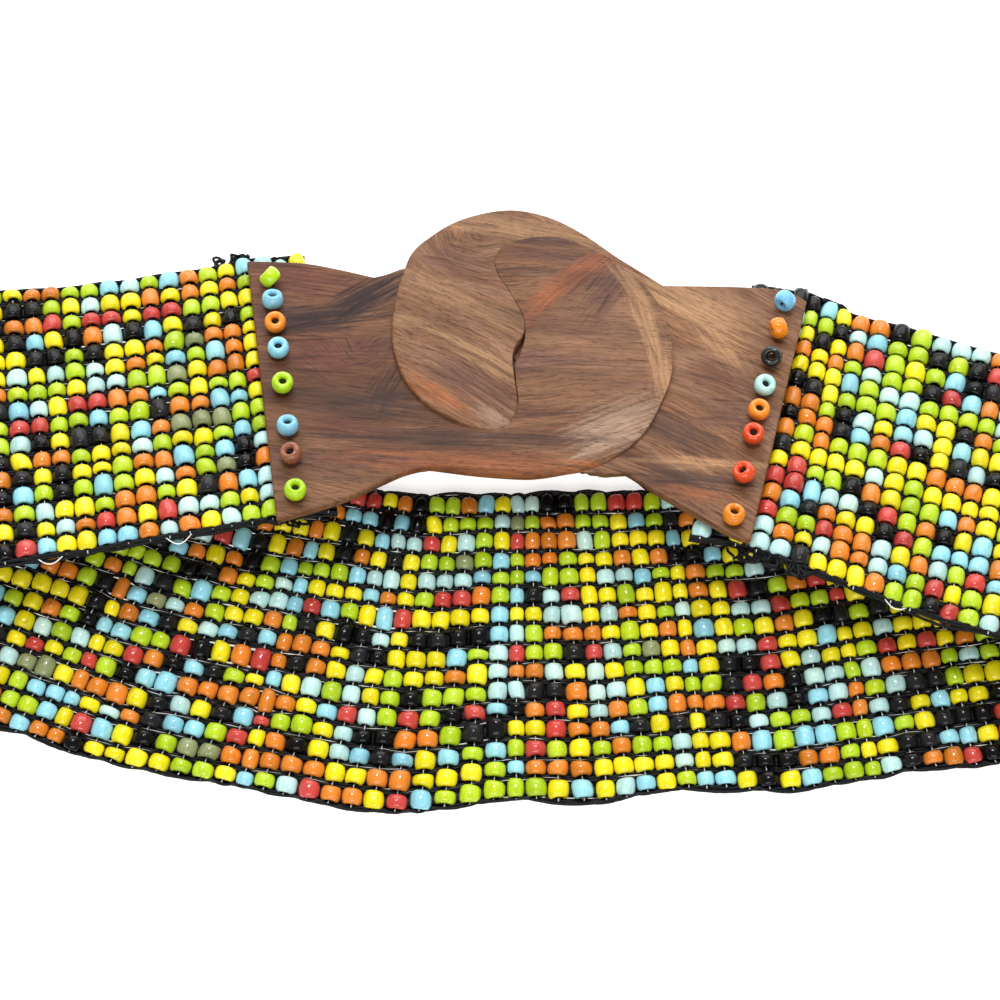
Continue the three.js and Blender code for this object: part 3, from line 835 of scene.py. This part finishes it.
def seenOutline(side):
    seam = carving["seam"]
    if side == "left":
        lobe = edgeLine("lobe", seam)
        shoulder = edgeLine("leftShoulder", 0, True)
        shoulder = shoulder[shoulder[:, 0] < claspEdges["headSide"][-1][0] * halfSize[0]]
        return joined((edgeLine("leftSide"), 0.4), (edgeLine("leftBottom"), 0.5), (lobe, lobeRim(lobe)),
                      (edgeLine("leftSlit", seam), 0.18), (edgeLine("headSide", seam), 0.02), (shoulder, 0.4),
                      (edgeLine("leftTop", 0, True), 0.4))
    tuck = edgeLine("rightTuck")
    tuck = tuck[:max(2, round(len(tuck) / 3) + 1)]
    lobe = edgeLine("lobe", -seam)
    lobe = lobe[lobe[:, 1] > np.where(lobe[:, 0] > 0, tuck[-1][1], 0)]
    return joined((edgeLine("headTop"), 0.5), (edgeLine("rightTop"), 0.4), (edgeLine("rightSide"), 0.4),
                  (edgeLine("rightBottom"), 0.45), (tuck, 0.3), (lobe, 0.02), (edgeLine("rightSlit", -seam), 0.18),
                  (edgeLine("headSide", -seam), 0.5))


def plateOutline(side):
    seam = carving["seam"]
    start = claspEdges["parting"][0][0] * halfSize[0]
    if side == "left":
        lobe = edgeLine("lobe", seam)
        lobe = lobe[(lobe[:, 1] < 0) & (lobe[:, 0] < start)]
        return joined((edgeLine("leftSide"), 0), (edgeLine("leftBottom"), 0), (lobe, 0), (edgeLine("parting", 0.15), 0),
                      (edgeLine("leftShoulder", 0, True), 0), (edgeLine("leftTop", 0, True), 0))[0]
    top = edgeLine("headTop")
    top = top[top[:, 0] > claspEdges["parting"][-1][0] * halfSize[0]]
    return joined((top, 0), (edgeLine("rightTop"), 0), (edgeLine("rightSide"), 0), (edgeLine("rightBottom"), 0),
                  (edgeLine("rightTuck"), 0), (edgeLine("parting", -0.15), 0))[0]


def inside(points, outline):
    x, y = points[:, 0][:, None], points[:, 1][:, None]
    ax, ay = outline[:, 0], outline[:, 1]
    bx, by = np.roll(ax, -1), np.roll(ay, -1)
    crosses = ((ay > y) != (by > y)) & (x < (bx - ax) * (y - ay) / np.where(by == ay, 1e-12, by - ay) + ax)
    return crosses.sum(axis=1) % 2 == 1


def nearest(points, outline):
    # distance to a closed outline, and the index of the nearest side of it
    start = outline
    step = np.roll(outline, -1, axis=0) - outline
    best = np.full(len(points), 1e9)
    which = np.zeros(len(points), int)
    for block in np.array_split(np.arange(len(points)), max(1, len(points) // 1500)):
        away = points[block][:, None, :] - start[None]
        t = np.clip((away * step).sum(-1) / np.maximum((step ** 2).sum(-1), 1e-12), 0, 1)
        gap = np.linalg.norm(away - step[None] * t[..., None], axis=-1)
        which[block] = gap.argmin(axis=1)
        best[block] = gap.min(axis=1)
    return best, which


def smoothstep(value, low, high):
    t = np.clip((value - low) / (high - low), 0, 1)
    return t * t * (3 - 2 * t)


def carvedHeight(side, points):
    u, v = points[:, 0], points[:, 1]
    away = np.hypot(u - carving["crown"][0] * halfSize[0], v - carving["crown"][1] * halfSize[1])
    crown = carving["headHeight"] - carving["crownDrop"] * (away / carving["crownRadius"]) ** 2
    if side == "left":
        rise = smoothstep(u + 0.45 * np.maximum(0, v - 10), -0.54 * halfSize[0], 0.18 * halfSize[0])
    else:
        rise = smoothstep(0.585 * halfSize[0] - u + 0.8 * (v - 0.59 * halfSize[1]), 0, 0.42 * halfSize[0])
    # the carver's tools leave it a little uneven
    uneven = 0.05 * np.sin(u * 0.31 + 1.3 * np.sin(v * 0.17)) * np.cos(v * 0.23 + 0.7)
    return clasp["plate"] + (crown - clasp["plate"]) * rise + uneven * rise


def insideCloud(outline, plate, holes, normal):
    # points to triangulate through: a grid over both outlines and rings that follow the rim
    corners = np.vstack([outline, plate])
    low, high = corners.min(axis=0), corners.max(axis=0)
    pitch = carving["grid"]
    gridX, gridY = np.meshgrid(np.arange(low[0], high[0], pitch), np.arange(low[1], high[1], pitch * 0.866))
    gridX = gridX + (np.arange(gridX.shape[0]) % 2)[:, None] * pitch / 2
    cloud = np.column_stack([gridX.ravel(), gridY.ravel()])
    cloud = cloud[inside(cloud, outline) | inside(cloud, plate)]
    clear = nearest(cloud, outline)[0] > carving["gridRim"]
    cloud = cloud[clear & (nearest(cloud, plate)[0] > carving["gridPlate"])]
    rings = []
    for depth in carving["rings"]:
        ring = outline + normal * depth
        rings.append(ring[(nearest(ring, outline)[0] > depth * 0.93) & inside(ring, outline)])
    cloud = np.vstack([cloud, *rings])
    for hole in holes:
        cloud = cloud[np.linalg.norm(cloud - hole, axis=1) > carving["hole"] + 0.15]
    return cloud


def undercut(side, flat, away, inward):
    # the underside is chamfered all round, so its edge lies a little inwards, and more under the lobe
    u, near = flat[:, 0], flat[:, 1] < -12
    reach = carving["undercut"] * np.ones(len(flat))
    if side == "left":
        reach += carving["lobeUndercut"] * smoothstep(u, 4, 14) * near
    else:
        reach *= np.where(near, smoothstep(u, 26, 31), 1)
    moved = inward * np.clip(reach - away, 0, None)[:, None]
    if side == "right":
        tucked = near & (u < 31)
        rise = carving["tuckUndercut"] * smoothstep(u[tucked], 31, 27) - away[tucked]
        moved[tucked] += (0, 1) * np.clip(rise, 0, None)[:, None]
    return moved


def claspHalf(side):
    outline, radii = seenOutline(side)
    plate = plateOutline(side)
    holes = [stopperPlace(side, row[0]) for row in stoppers[side]]
    turns = np.arange(20) / 20 * 2 * math.pi
    round20 = np.column_stack([np.cos(turns), np.sin(turns)])
    circles = [hole + carving["hole"] * round20 for hole in holes]
    step = np.roll(outline, -1, axis=0) - np.roll(outline, 1, axis=0)
    normal = np.column_stack([-step[:, 1], step[:, 0]]) / np.linalg.norm(step, axis=1)[:, None]
    if not inside(outline[:1] + normal[:1] * 0.2, outline)[0]:
        normal = -normal

    corners, sides = [], []
    for line in (outline, plate, *circles):
        first = sum(len(c) for c in corners)
        corners.append(line)
        sides += [(first + i, first + (i + 1) % len(line)) for i in range(len(line))]
    corners.append(insideCloud(outline, plate, holes, normal))
    points2d = [Vector(p) for p in np.vstack(corners)]
    verts, _, faces, _, _, _ = geometry.delaunay_2d_cdt(points2d, sides, [], 0, 1e-4)
    flat = np.array([list(v) for v in verts])
    triangles = np.array([f[:] for f in faces if len(f) == 3])
    middles = flat[triangles].mean(axis=1)
    seen, below = inside(middles, outline), inside(middles, plate)
    for hole in holes:
        kept = np.linalg.norm(middles - hole, axis=1) >= carving["hole"] * 0.97
        seen &= kept
        below &= kept
    away, which = nearest(flat, outline)
    radius = radii[which]
    drop = radius - np.sqrt(np.maximum(radius ** 2 - (radius - np.clip(away, 0, radius)) ** 2, 0))
    plateTop = np.full(len(flat), clasp["plate"])
    levels = np.column_stack([
        np.zeros(len(flat)), plateTop - carving["under"], plateTop, carvedHeight(side, flat) - drop,
    ])
    # what each triangle fills, as levels from its underside to its top
    spans = {(True, True): (0, 3), (True, False): (2, 3), (False, True): (0, 1)}
    span = [spans.get((bool(a), bool(b))) for a, b in zip(seen, below)]
    moved = undercut(side, flat, away, normal[which])
    keys, points, quads, owner = {}, [], [], {}

    def corner(index, level):
        key = (index, level)
        if key not in keys:
            keys[key] = len(points)
            place = flat[index] + (moved[index] if level == 0 else 0)
            points.append((*place, levels[index, level]))
        return keys[key]

    for number, triangle in enumerate(triangles):
        for k in range(3):
            owner[(triangle[k], triangle[(k + 1) % 3])] = number
    for number, triangle in enumerate(triangles):
        if span[number] is None:
            continue
        bottom, top = span[number]
        a, b, c = triangle
        quads.append([corner(a, top), corner(b, top), corner(c, top)])
        quads.append([corner(c, bottom), corner(b, bottom), corner(a, bottom)])
        for k in range(3):
            p, q = triangle[k], triangle[(k + 1) % 3]
            other = owner.get((q, p))
            beside = span[other] if other is not None else None
            parts = [(bottom, top)]
            if beside is not None:
                parts = [(bottom, min(top, beside[0])), (max(bottom, beside[1]), top)]
            for low, high in parts:
                if low < high:
                    quads.append([corner(p, low), corner(q, low), corner(q, high), corner(p, high)])
    turned = claspMatrix()
    world = np.array([list(turned @ Vector(p)) for p in points])
    mesh = bpy.data.meshes.new("clasp_" + side)
    mesh.from_pydata([tuple(p) for p in placed(world)], [], quads)
    mesh.polygons.foreach_set("use_smooth", np.ones(len(mesh.polygons), bool))
    mesh.set_sharp_from_angle(angle=math.radians(40))
    mesh.validate()
    return mesh

# Rosewood: grain, pores and the streaks of each half, with a few pale patches of painted sheen among the streaks, in
# millimetres of the clasp's own frame
def woodGrain():
    shading, given, result = newGroup(
        "roseGrain", {"Place": "Vector", "Turn": "Float", "Shift": "Vector", "Knot": "Vector"},
        {"Bands": "Float", "Lines": "Float", "Pores": "Float"})
    moved = shading.work("VectorMath", "ADD", given["Place"], given["Shift"])
    turned = shading.turned(moved, given["Turn"])
    swirl = shading.noise(turned, 0.03, 1.2, 0.45)["Color"]
    # the grain bends round a knot
    away = shading.work("VectorMath", "DISTANCE", given["Place"], given["Knot"])
    eye = shading.ranged(away, "SMOOTHERSTEP", 14, 0, 0, 8)
    lifted = shading.fit(shading.add("CombineXYZ"), Y=eye).outputs[0]
    pushed = shading.work("VectorMath", "ADD", turned, lifted)
    bent = shading.work("VectorMath", "MULTIPLY_ADD", swirl, (0, 9, 3), pushed)
    for name, stretch, texture in (
            ("Bands", (0.13, 1, 1), (0.12, 2.5, 0.5)), ("Lines", (0.045, 1, 1), (1.8, 5, 0.74)),
            ("Pores", (0.09, 1, 1), (4.2, 2, 0.55))):
        place = shading.work("VectorMath", "MULTIPLY", bent, stretch)
        shading.wire(result[name], shading.noise(place, *texture)["Fac"])
    return shading.tree


def streakMask():
    # a ragged patch drawn out along its own grain, and the lines of that grain
    shading, given, result = newGroup(
        "streakMask", {"Place": "Vector", "Middle": "Vector", "Turn": "Float", "Half Size": "Vector"},
        {"Mask": "Float", "Lines": "Float"})
    away = shading.work("VectorMath", "SUBTRACT", given["Place"], given["Middle"])
    turned = shading.turned(away, given["Turn"])
    shares = shading.work("VectorMath", "DIVIDE", turned, given["Half Size"])
    size = shading.work("VectorMath", "LENGTH", shading.work("VectorMath", "MULTIPLY", shares, (1, 1, 0)))
    drawn = shading.work("VectorMath", "MULTIPLY", turned, (0.05, 0.75, 0))
    ragged = shading.work("Math", "MULTIPLY_ADD", shading.noise(drawn, 1, 4, 0.68)["Fac"], 3.4, -1.7)
    total = shading.work("Math", "ADD", size, ragged)
    shading.wire(result["Mask"], shading.ranged(total, "SMOOTHSTEP", 1.3, 0.3, 0, 1))
    finer = shading.work("VectorMath", "MULTIPLY", turned, (0.06, 1.5, 0))
    shading.wire(result["Lines"], shading.noise(finer, 1, 5, 0.72, 0.25)["Fac"])
    return shading.tree


grainGroup = woodGrain()
streakGroup = streakMask()


def woodTone(red, green, blue):
    # a tone as it should look once lit, with the room's light and the surface's haze taken off
    return tuple(max(0.003, (value - 0.045) / 2.2) for value in linear(red, green, blue))


# the pale tone is painted sheen, laid where the carved surface catches the light
tones = {
    "deep": woodTone(84, 67, 64), "dark": woodTone(104, 82, 76), "purple": woodTone(138, 101, 90),
    "brown": woodTone(176, 130, 98), "rose": woodTone(142, 92, 80), "tan": woodTone(226, 178, 134),
    "orange": woodTone(204, 130, 90), "painted_sheen": woodTone(220, 188, 162), "umber": woodTone(150, 107, 80),
    "plate": woodTone(116, 80, 64), "sand": woodTone(190, 146, 116),
}


def woodMaterial(name, turn, offset, knot, stops, streaks):
    material, shading, shader = newMaterial(name)
    matrix = claspMatrix()
    local = shading.fit(
        shading.add("Mapping", vector_type="TEXTURE"), Vector=shading.add("TexCoord").outputs["Object"],
        Location=placed([list(matrix.translation)])[0], Rotation=matrix.to_euler("XYZ"), Scale=(mm, mm, mm),
    ).outputs[0]
    grain = shading.group(grainGroup, Place=local, Turn=math.radians(turn), Shift=offset, Knot=(*knot, 0))
    lines = grain["Lines"]
    mixed = shading.work("Math", "MULTIPLY_ADD", lines, 0.24, grain["Bands"])
    colour = shading.ramp(mixed, *((place - 0.03, tones[tone]) for place, tone in stops))
    for tone, middle, angle, size, strength in streaks:
        mask = shading.group(
            streakGroup, Place=local, Middle=(*middle, 0), Turn=-math.radians(angle), Half_Size=(*size, 1))
        share = shading.work("Math", "MULTIPLY", mask["Mask"], strength)
        colour = shading.mix(share, colour, (*tones[tone], 1))
        # inside a streak its own lines take over
        own = shading.work("Math", "MULTIPLY", share, 1.7)
        own.node.use_clamp = True
        lines = shading.mix(own, lines, mask["Lines"], kind="FLOAT")
    for amount, source, stops in (
            (1, lines, ((0.36, (0.5, 0.47, 0.46)), (0.5, (0.98, 0.97, 0.97)), (0.64, (1.32, 1.29, 1.25)))),
            (0.8, grain["Pores"], ((0.34, (0.34, 0.31, 0.31)), (0.455, 1))),
            (1, grain["Bands"], ((0.36, (0.82, 0.79, 0.78)), (0.64, (1.14, 1.12, 1.1))))):
        colour = shading.mix(amount, colour, shading.ramp(source, *stops), blend="MULTIPLY")
    shading.fit(
        shader, Base_Color=colour, Roughness=shading.ramp(lines, (0.35, 0.62), (0.65, 0.44)),
        Normal=shading.bump(grain["Pores"], 0.35, 0.00006), IOR=1.45, Specular_IOR_Level=0.26)
    return material


# Streaks: tone, middle, angle, half size, strength
leftWood = woodMaterial(
    "rosewood_left", -2, (0, 0, 0), (-33.7, 2.9),
    [(0.5, "purple"), (0.58, "umber"), (0.66, "brown"), (0.74, "umber"), (0.82, "purple")],
    [
        ("plate", (-38, -2), 0, (26, 16), 0.68),
        ("sand", (20, 16), 4, (20, 19), 0.6),
        ("rose", (-47, 26), -4, (15, 5), 0.9),
        ("deep", (-43, 16), 14, (12, 3.6), 1.0),
        ("deep", (-33, 23.5), 40, (11, 4.2), 1.0),
        ("dark", (-28, 10), 20, (10, 3), 0.6),
        ("rose", (-39, 7), 6, (12, 4.5), 0.8),
        ("deep", (-27, -2), 70, (6, 3.6), 0.7),
        ("brown", (-48, -10), -3, (12, 2.6), 0.6),
        ("rose", (-33, -13), -6, (14, 2.8), 0.6),
        ("dark", (-30, -6), -6, (13, 4), 0.6),
        ("dark", (6, 38), -10, (11, 3.2), 0.35),
        ("orange", (8, 26.5), 50, (12, 2.6), 0.95),
        ("orange", (13, 32), 42, (12, 2.8), 0.85),
        ("orange", (5, 21), 58, (8, 1.4), 0.7),
        ("rose", (15, 33), 52, (13, 3), 0.55),
        ("purple", (20, 29), 62, (12, 4), 0.8),
        ("tan", (24.5, 29), -58, (8, 2), 0.85),
        ("tan", (28.5, 17), -72, (10, 2.4), 0.95),
        ("tan", (32, 5), -80, (8, 2.6), 0.8),
        ("rose", (10, 17), 6, (12, 3.5), 0.3),
        ("dark", (8, 3), 3, (15, 1.4), 0.4),
        # painted sheen: the pale patch where the lobe's lower right slope catches the light
        ("painted_sheen", (23, -9), 30, (12, 6), 0.8),
        ("dark", (-8, -14), 1, (36, 2.2), 0.75),
        ("orange", (-6, -20.5), 0, (34, 3.4), 0.75),
        ("brown", (-40, -27), -12, (20, 7), 0.7),
    ])
rightWood = woodMaterial(
    "rosewood_right", 28, (31, 57, 12), (-12.6, 34.9),
    [(0.48, "umber"), (0.56, "brown"), (0.62, "brown"), (0.68, "sand"), (0.75, "umber"), (0.82, "brown")],
    [
        ("tan", (-3, 44.5), -10, (19, 4), 0.8),
        ("purple", (-13, 33), -20, (9, 5), 0.6),
        ("purple", (-9, -1), -30, (12, 4), 0.8),
        ("tan", (-13, 22), -26, (16, 3), 0.6),
        ("tan", (-25, 16), -14, (6, 2.2), 0.7),
        ("tan", (-10, 8.5), -29, (17, 1.1), 0.95),
        ("tan", (-6, 3.5), -30, (9, 0.9), 0.8),
        ("orange", (-15, -4.5), -36, (9, 2.2), 0.8),
        # painted highlight: the pale patch where the rounded tip of the head catches the light
        ("painted_sheen", (-3, -9), -30, (5, 2), 0.6),
        ("tan", (38, 26), -28, (15, 5.5), 1.0),
        ("tan", (45, 14), -56, (10, 3), 0.6),
        ("rose", (46, 6), -20, (10, 4), 0.6),
        ("purple", (48, -3), 0, (10, 5), 0.6),
        ("dark", (34, -8), -24, (12, 4.2), 0.7),
        ("tan", (42, -16), 0, (16, 1.6), 0.8),
        ("dark", (40, -20.5), -4, (13, 2.6), 0.8),
        ("orange", (40, -24), -8, (8, 2), 0.75),
    ])
for side, material in (("left", leftWood), ("right", rightWood)):
    makePiece("clasp_" + side, claspHalf(side), material, "rosewood", "clasp_half_" + side)
print("clasp: halves carved and grained")

# Stopper beads, each with the end of its knotted cord down the hole
stopper = {
    "diameter": 4.7,
    "height": 3.3,
    "hole": 0.78,
    "sideHole": 0.3,
    "sides": 28,
    "profile": [
        (0.36, -0.3), (0.42, -0.41), (0.54, -0.485), (0.68, -0.485), (0.82, -0.42), (0.93, -0.28),
        (0.985, -0.12), (0.985, 0.12), (0.93, 0.28), (0.82, 0.42), (0.68, 0.485), (0.54, 0.485),
        (0.42, 0.41), (0.36, 0.3),
    ],
    "cord": 0.55,
    "cordTip": 0.08,
    "cordRoom": 0.06,
    "gloss": 0.45,
    "blackGloss": 0.4,
    "colours": {
        "lime": (164, 204, 16), "light_blue": (134, 200, 226), "orange": (228, 128, 14), "copper": (146, 86, 62),
        "blue": (104, 178, 224), "black": (9, 9, 12), "ice": (166, 216, 220), "red_orange": (216, 72, 28),
    },
}


def turnedMesh(name, profile, sides, matrix, seed):
    # a ring-shaped lathe form, open through its middle
    angles = np.arange(sides) / sides * 2 * math.pi
    radii, heights = np.array(profile).T[:, :, None]
    local = np.stack([
        radii * np.cos(angles), radii * np.sin(angles), np.broadcast_to(heights, (len(profile), sides)),
    ], -1).reshape(-1, 3)
    points = np.array([list(matrix @ Vector(p)) for p in local])
    quads, uvs = sleeve(len(profile), sides, True, heights[:, 0] / stopper["height"] + 0.5)
    return makeMesh(name, placed(points), quads, uvs, np.full(len(points), seed))


def placeStoppers():
    rng = np.random.default_rng(31)
    glass = {
        name: beadMaterial("stopper_" + name, rgb, stopper["blackGloss" if name == "black" else "gloss"])
        for name, rgb in stopper["colours"].items()
    }
    radius, height = stopper["diameter"] / 2, stopper["height"]
    for side, rows in stoppers.items():
        for number, (across, lie, turn, colour) in enumerate(rows, 1):
            lie, turn = math.radians(lie), math.radians(turn)
            pointing = Vector((math.sin(lie) * math.cos(turn), math.sin(lie) * math.sin(turn), math.cos(lie)))
            spun = Vector((0, 0, 1)).rotation_difference(pointing).to_matrix().to_4x4()
            profile = [(share * radius, along * height) for share, along in stopper["profile"]]
            # a bead that lies on its side shows hardly any hole
            hole = stopper["hole"] if lie < 1 else stopper["sideHole"]
            for end in (0, -1):
                profile[end] = (hole, profile[end][1])
            flatness = math.sqrt(max(0, 1 - pointing.z ** 2))
            lowest = -max(flatness * r - pointing.z * z for r, z in profile)
            place = stopperPlace(side, across)
            at = Matrix.Translation((*place, clasp["plate"] + clasp["seat"] - lowest))
            matrix = claspMatrix() @ at @ spun
            node = f"stopper_bead_{side}_{number}"
            mesh = turnedMesh("glass_" + node, profile, stopper["sides"], matrix, rng.random())
            makePiece("glass_" + node, mesh, glass[colour], "glass_" + colour, node)
            thick, thin = min(stopper["cord"], hole - stopper["cordRoom"]), stopper["cordTip"]
            knot = [(r, height * share) for r, share in ((thin, -0.45), (thick, -0.45), (thick, 0.2), (thin, 0.3))]
            name = "cord_end_" + node
            makePiece(name, turnedMesh(name, knot, 10, matrix, 0.5), elastic, "elastic_cord", node)


placeStoppers()
print("stoppers: beads and cord ends done")

# Loose ends: tangled elastic at the plate corners, as first and last share of the loop, side, count and
# size, and a few slack nylon loops, as share, side and size
loose = {
    "tangles": [(0.004, 0.032, 1, 18, 3.0), (0.966, 0.992, 1, 6, 2.0), (0.962, 0.984, -1, 18, 4.2),
                (0.012, 0.03, -1, 6, 2.0)],
    "slack": [(0.052, -1, 2.6), (0.094, -1, 2.2), (0.13, -1, 3.2), (0.139, -1, 2.0), (0.06, 1, 1.6),
              (0.93, -1, 2.0)],
    "cord": 0.34,
}


def looseLoops():
    rng = np.random.default_rng(640)
    half = strap["width"] / 2
    tangles, slack = [], []
    for first, last, out, count, size in loose["tangles"]:
        for start in rng.uniform(first, last, count):
            reach = size * rng.uniform(0.5, 1)
            wide = rng.uniform(0.0025, 0.006)
            t = np.linspace(0, 1, 15)
            side = out * (half - 0.9 + reach * np.sin(t * math.pi) ** 0.8)
            lift = rng.uniform(-0.4, 1.0) * np.sin(t * math.pi) + 0.3 * np.sin(t * 7 + rng.uniform(0, 6))
            along = start + wide * (t - 0.5) + 0.0008 * np.sin(t * 9 + start * 900)
            points = loop.points(along, side, lift)
            points[:, 2] = np.maximum(points[:, 2], 0.4)
            tangles.append(freePath(points, loose["cord"]))
    for start, out, size in loose["slack"]:
        t = np.linspace(0, 1, 19)
        side = out * (half - 0.6 + size * np.sin(t * math.pi))
        points = loop.points(start + 0.009 * (t - 0.5), side, 0.5 * np.sin(t * math.pi) + 0.2)
        points[:, 2] = np.maximum(points[:, 2], 0.3)
        slack.append(freePath(points, thread["radius"]))
    dressStrap("cord_tangles", tangles, 6, elastic, "elastic_cord")
    dressStrap("slack_threads", slack, 6, nylon, "nylon_thread")


looseLoops()
print("loose ends: tangles and slack loops done")

# Floor, light and camera
floorMesh = bpy.data.meshes.new("floor")
floorMesh.from_pydata([(-4, -4, 0), (4, -4, 0), (4, 4, 0), (-4, 4, 0)], [], [(0, 1, 2, 3)])
floor = bpy.data.objects.new("floor", floorMesh)
bpy.context.scene.collection.objects.link(floor)
white, tableShading, whiteShader = newMaterial("white_table")
tableShading.fit(
    whiteShader, Base_Color=(0.92, 0.92, 0.91, 1), Roughness=0.6, Emission_Color=(1, 1, 1, 1),
    Emission_Strength=0.72)
floorMesh.materials.append(white)

# place, target, size, power: metres and watts
lights = {
    "far_window": ((0.1, 1.5, 1.1), (0, 0, 0), (2.4, 1.2), 30),
    "near_fill": ((0, -0.7, 0.62), (0, -0.03, 0), (0.9, 0.5), 6),
    "lamp_left": ((-0.13, 0.33, 1.15), (0, 0, 0), (0.1, 0.12), 4),
    "lamp_right": ((0.11, 0.35, 1.15), (0, 0, 0), (0.1, 0.12), 3.3),
}
for name, (place, target, size, power) in lights.items():
    lamp = bpy.data.lights.new(name, "AREA")
    lamp.shape = "RECTANGLE"
    lamp.size, lamp.size_y = size
    lamp.energy = power
    light = bpy.data.objects.new(name, lamp)
    bpy.context.scene.collection.objects.link(light)
    light.location = place
    light.rotation_euler = (Vector(target) - Vector(place)).to_track_quat("-Z", "Y").to_euler()


def studioWorld():
    # a room that is brighter beyond the belt than behind the viewer
    world = bpy.context.scene.world or bpy.data.worlds.new("world")
    bpy.context.scene.world = world
    world.use_nodes = True
    shading = Shading(world.node_tree)
    split = shading.add("SeparateXYZ")
    shading.wire(split.inputs[0], shading.add("TexCoord").outputs["Generated"])
    level = shading.ranged(split.outputs["Y"], "SMOOTHSTEP", 0.1, 0.85, 0.42, 1.1)
    shading.fit(world.node_tree.nodes["Background"], Color=(1, 1, 1, 1), Strength=level)


studioWorld()
bpy.context.scene.view_settings.view_transform = "Standard"
bpy.context.scene.view_settings.exposure = -0.1

view = {"distance": 600, "elevation": 70, "focalShare": 0.2165, "halfPicture": 500}
elevation = math.radians(view["elevation"])
eye = view["distance"] * np.array([0, -math.cos(elevation), math.sin(elevation)])
camera = bpy.data.objects.new("camera", bpy.data.cameras.new("camera"))
bpy.context.scene.collection.objects.link(camera)
camera.location = placed([eye])[0]
aim = Vector(placed([[0, 0, 0]])[0]) - Vector(placed([eye])[0])
camera.rotation_euler = aim.to_track_quat("-Z", "Y").to_euler()
focal = view["distance"] / view["focalShare"]
camera.data.sensor_fit = "AUTO"
camera.data.angle = 2 * math.atan(view["halfPicture"] / focal)
camera.data.clip_start = 0.01
bpy.context.scene.camera = camera
print("stage: floor, lights and camera done")
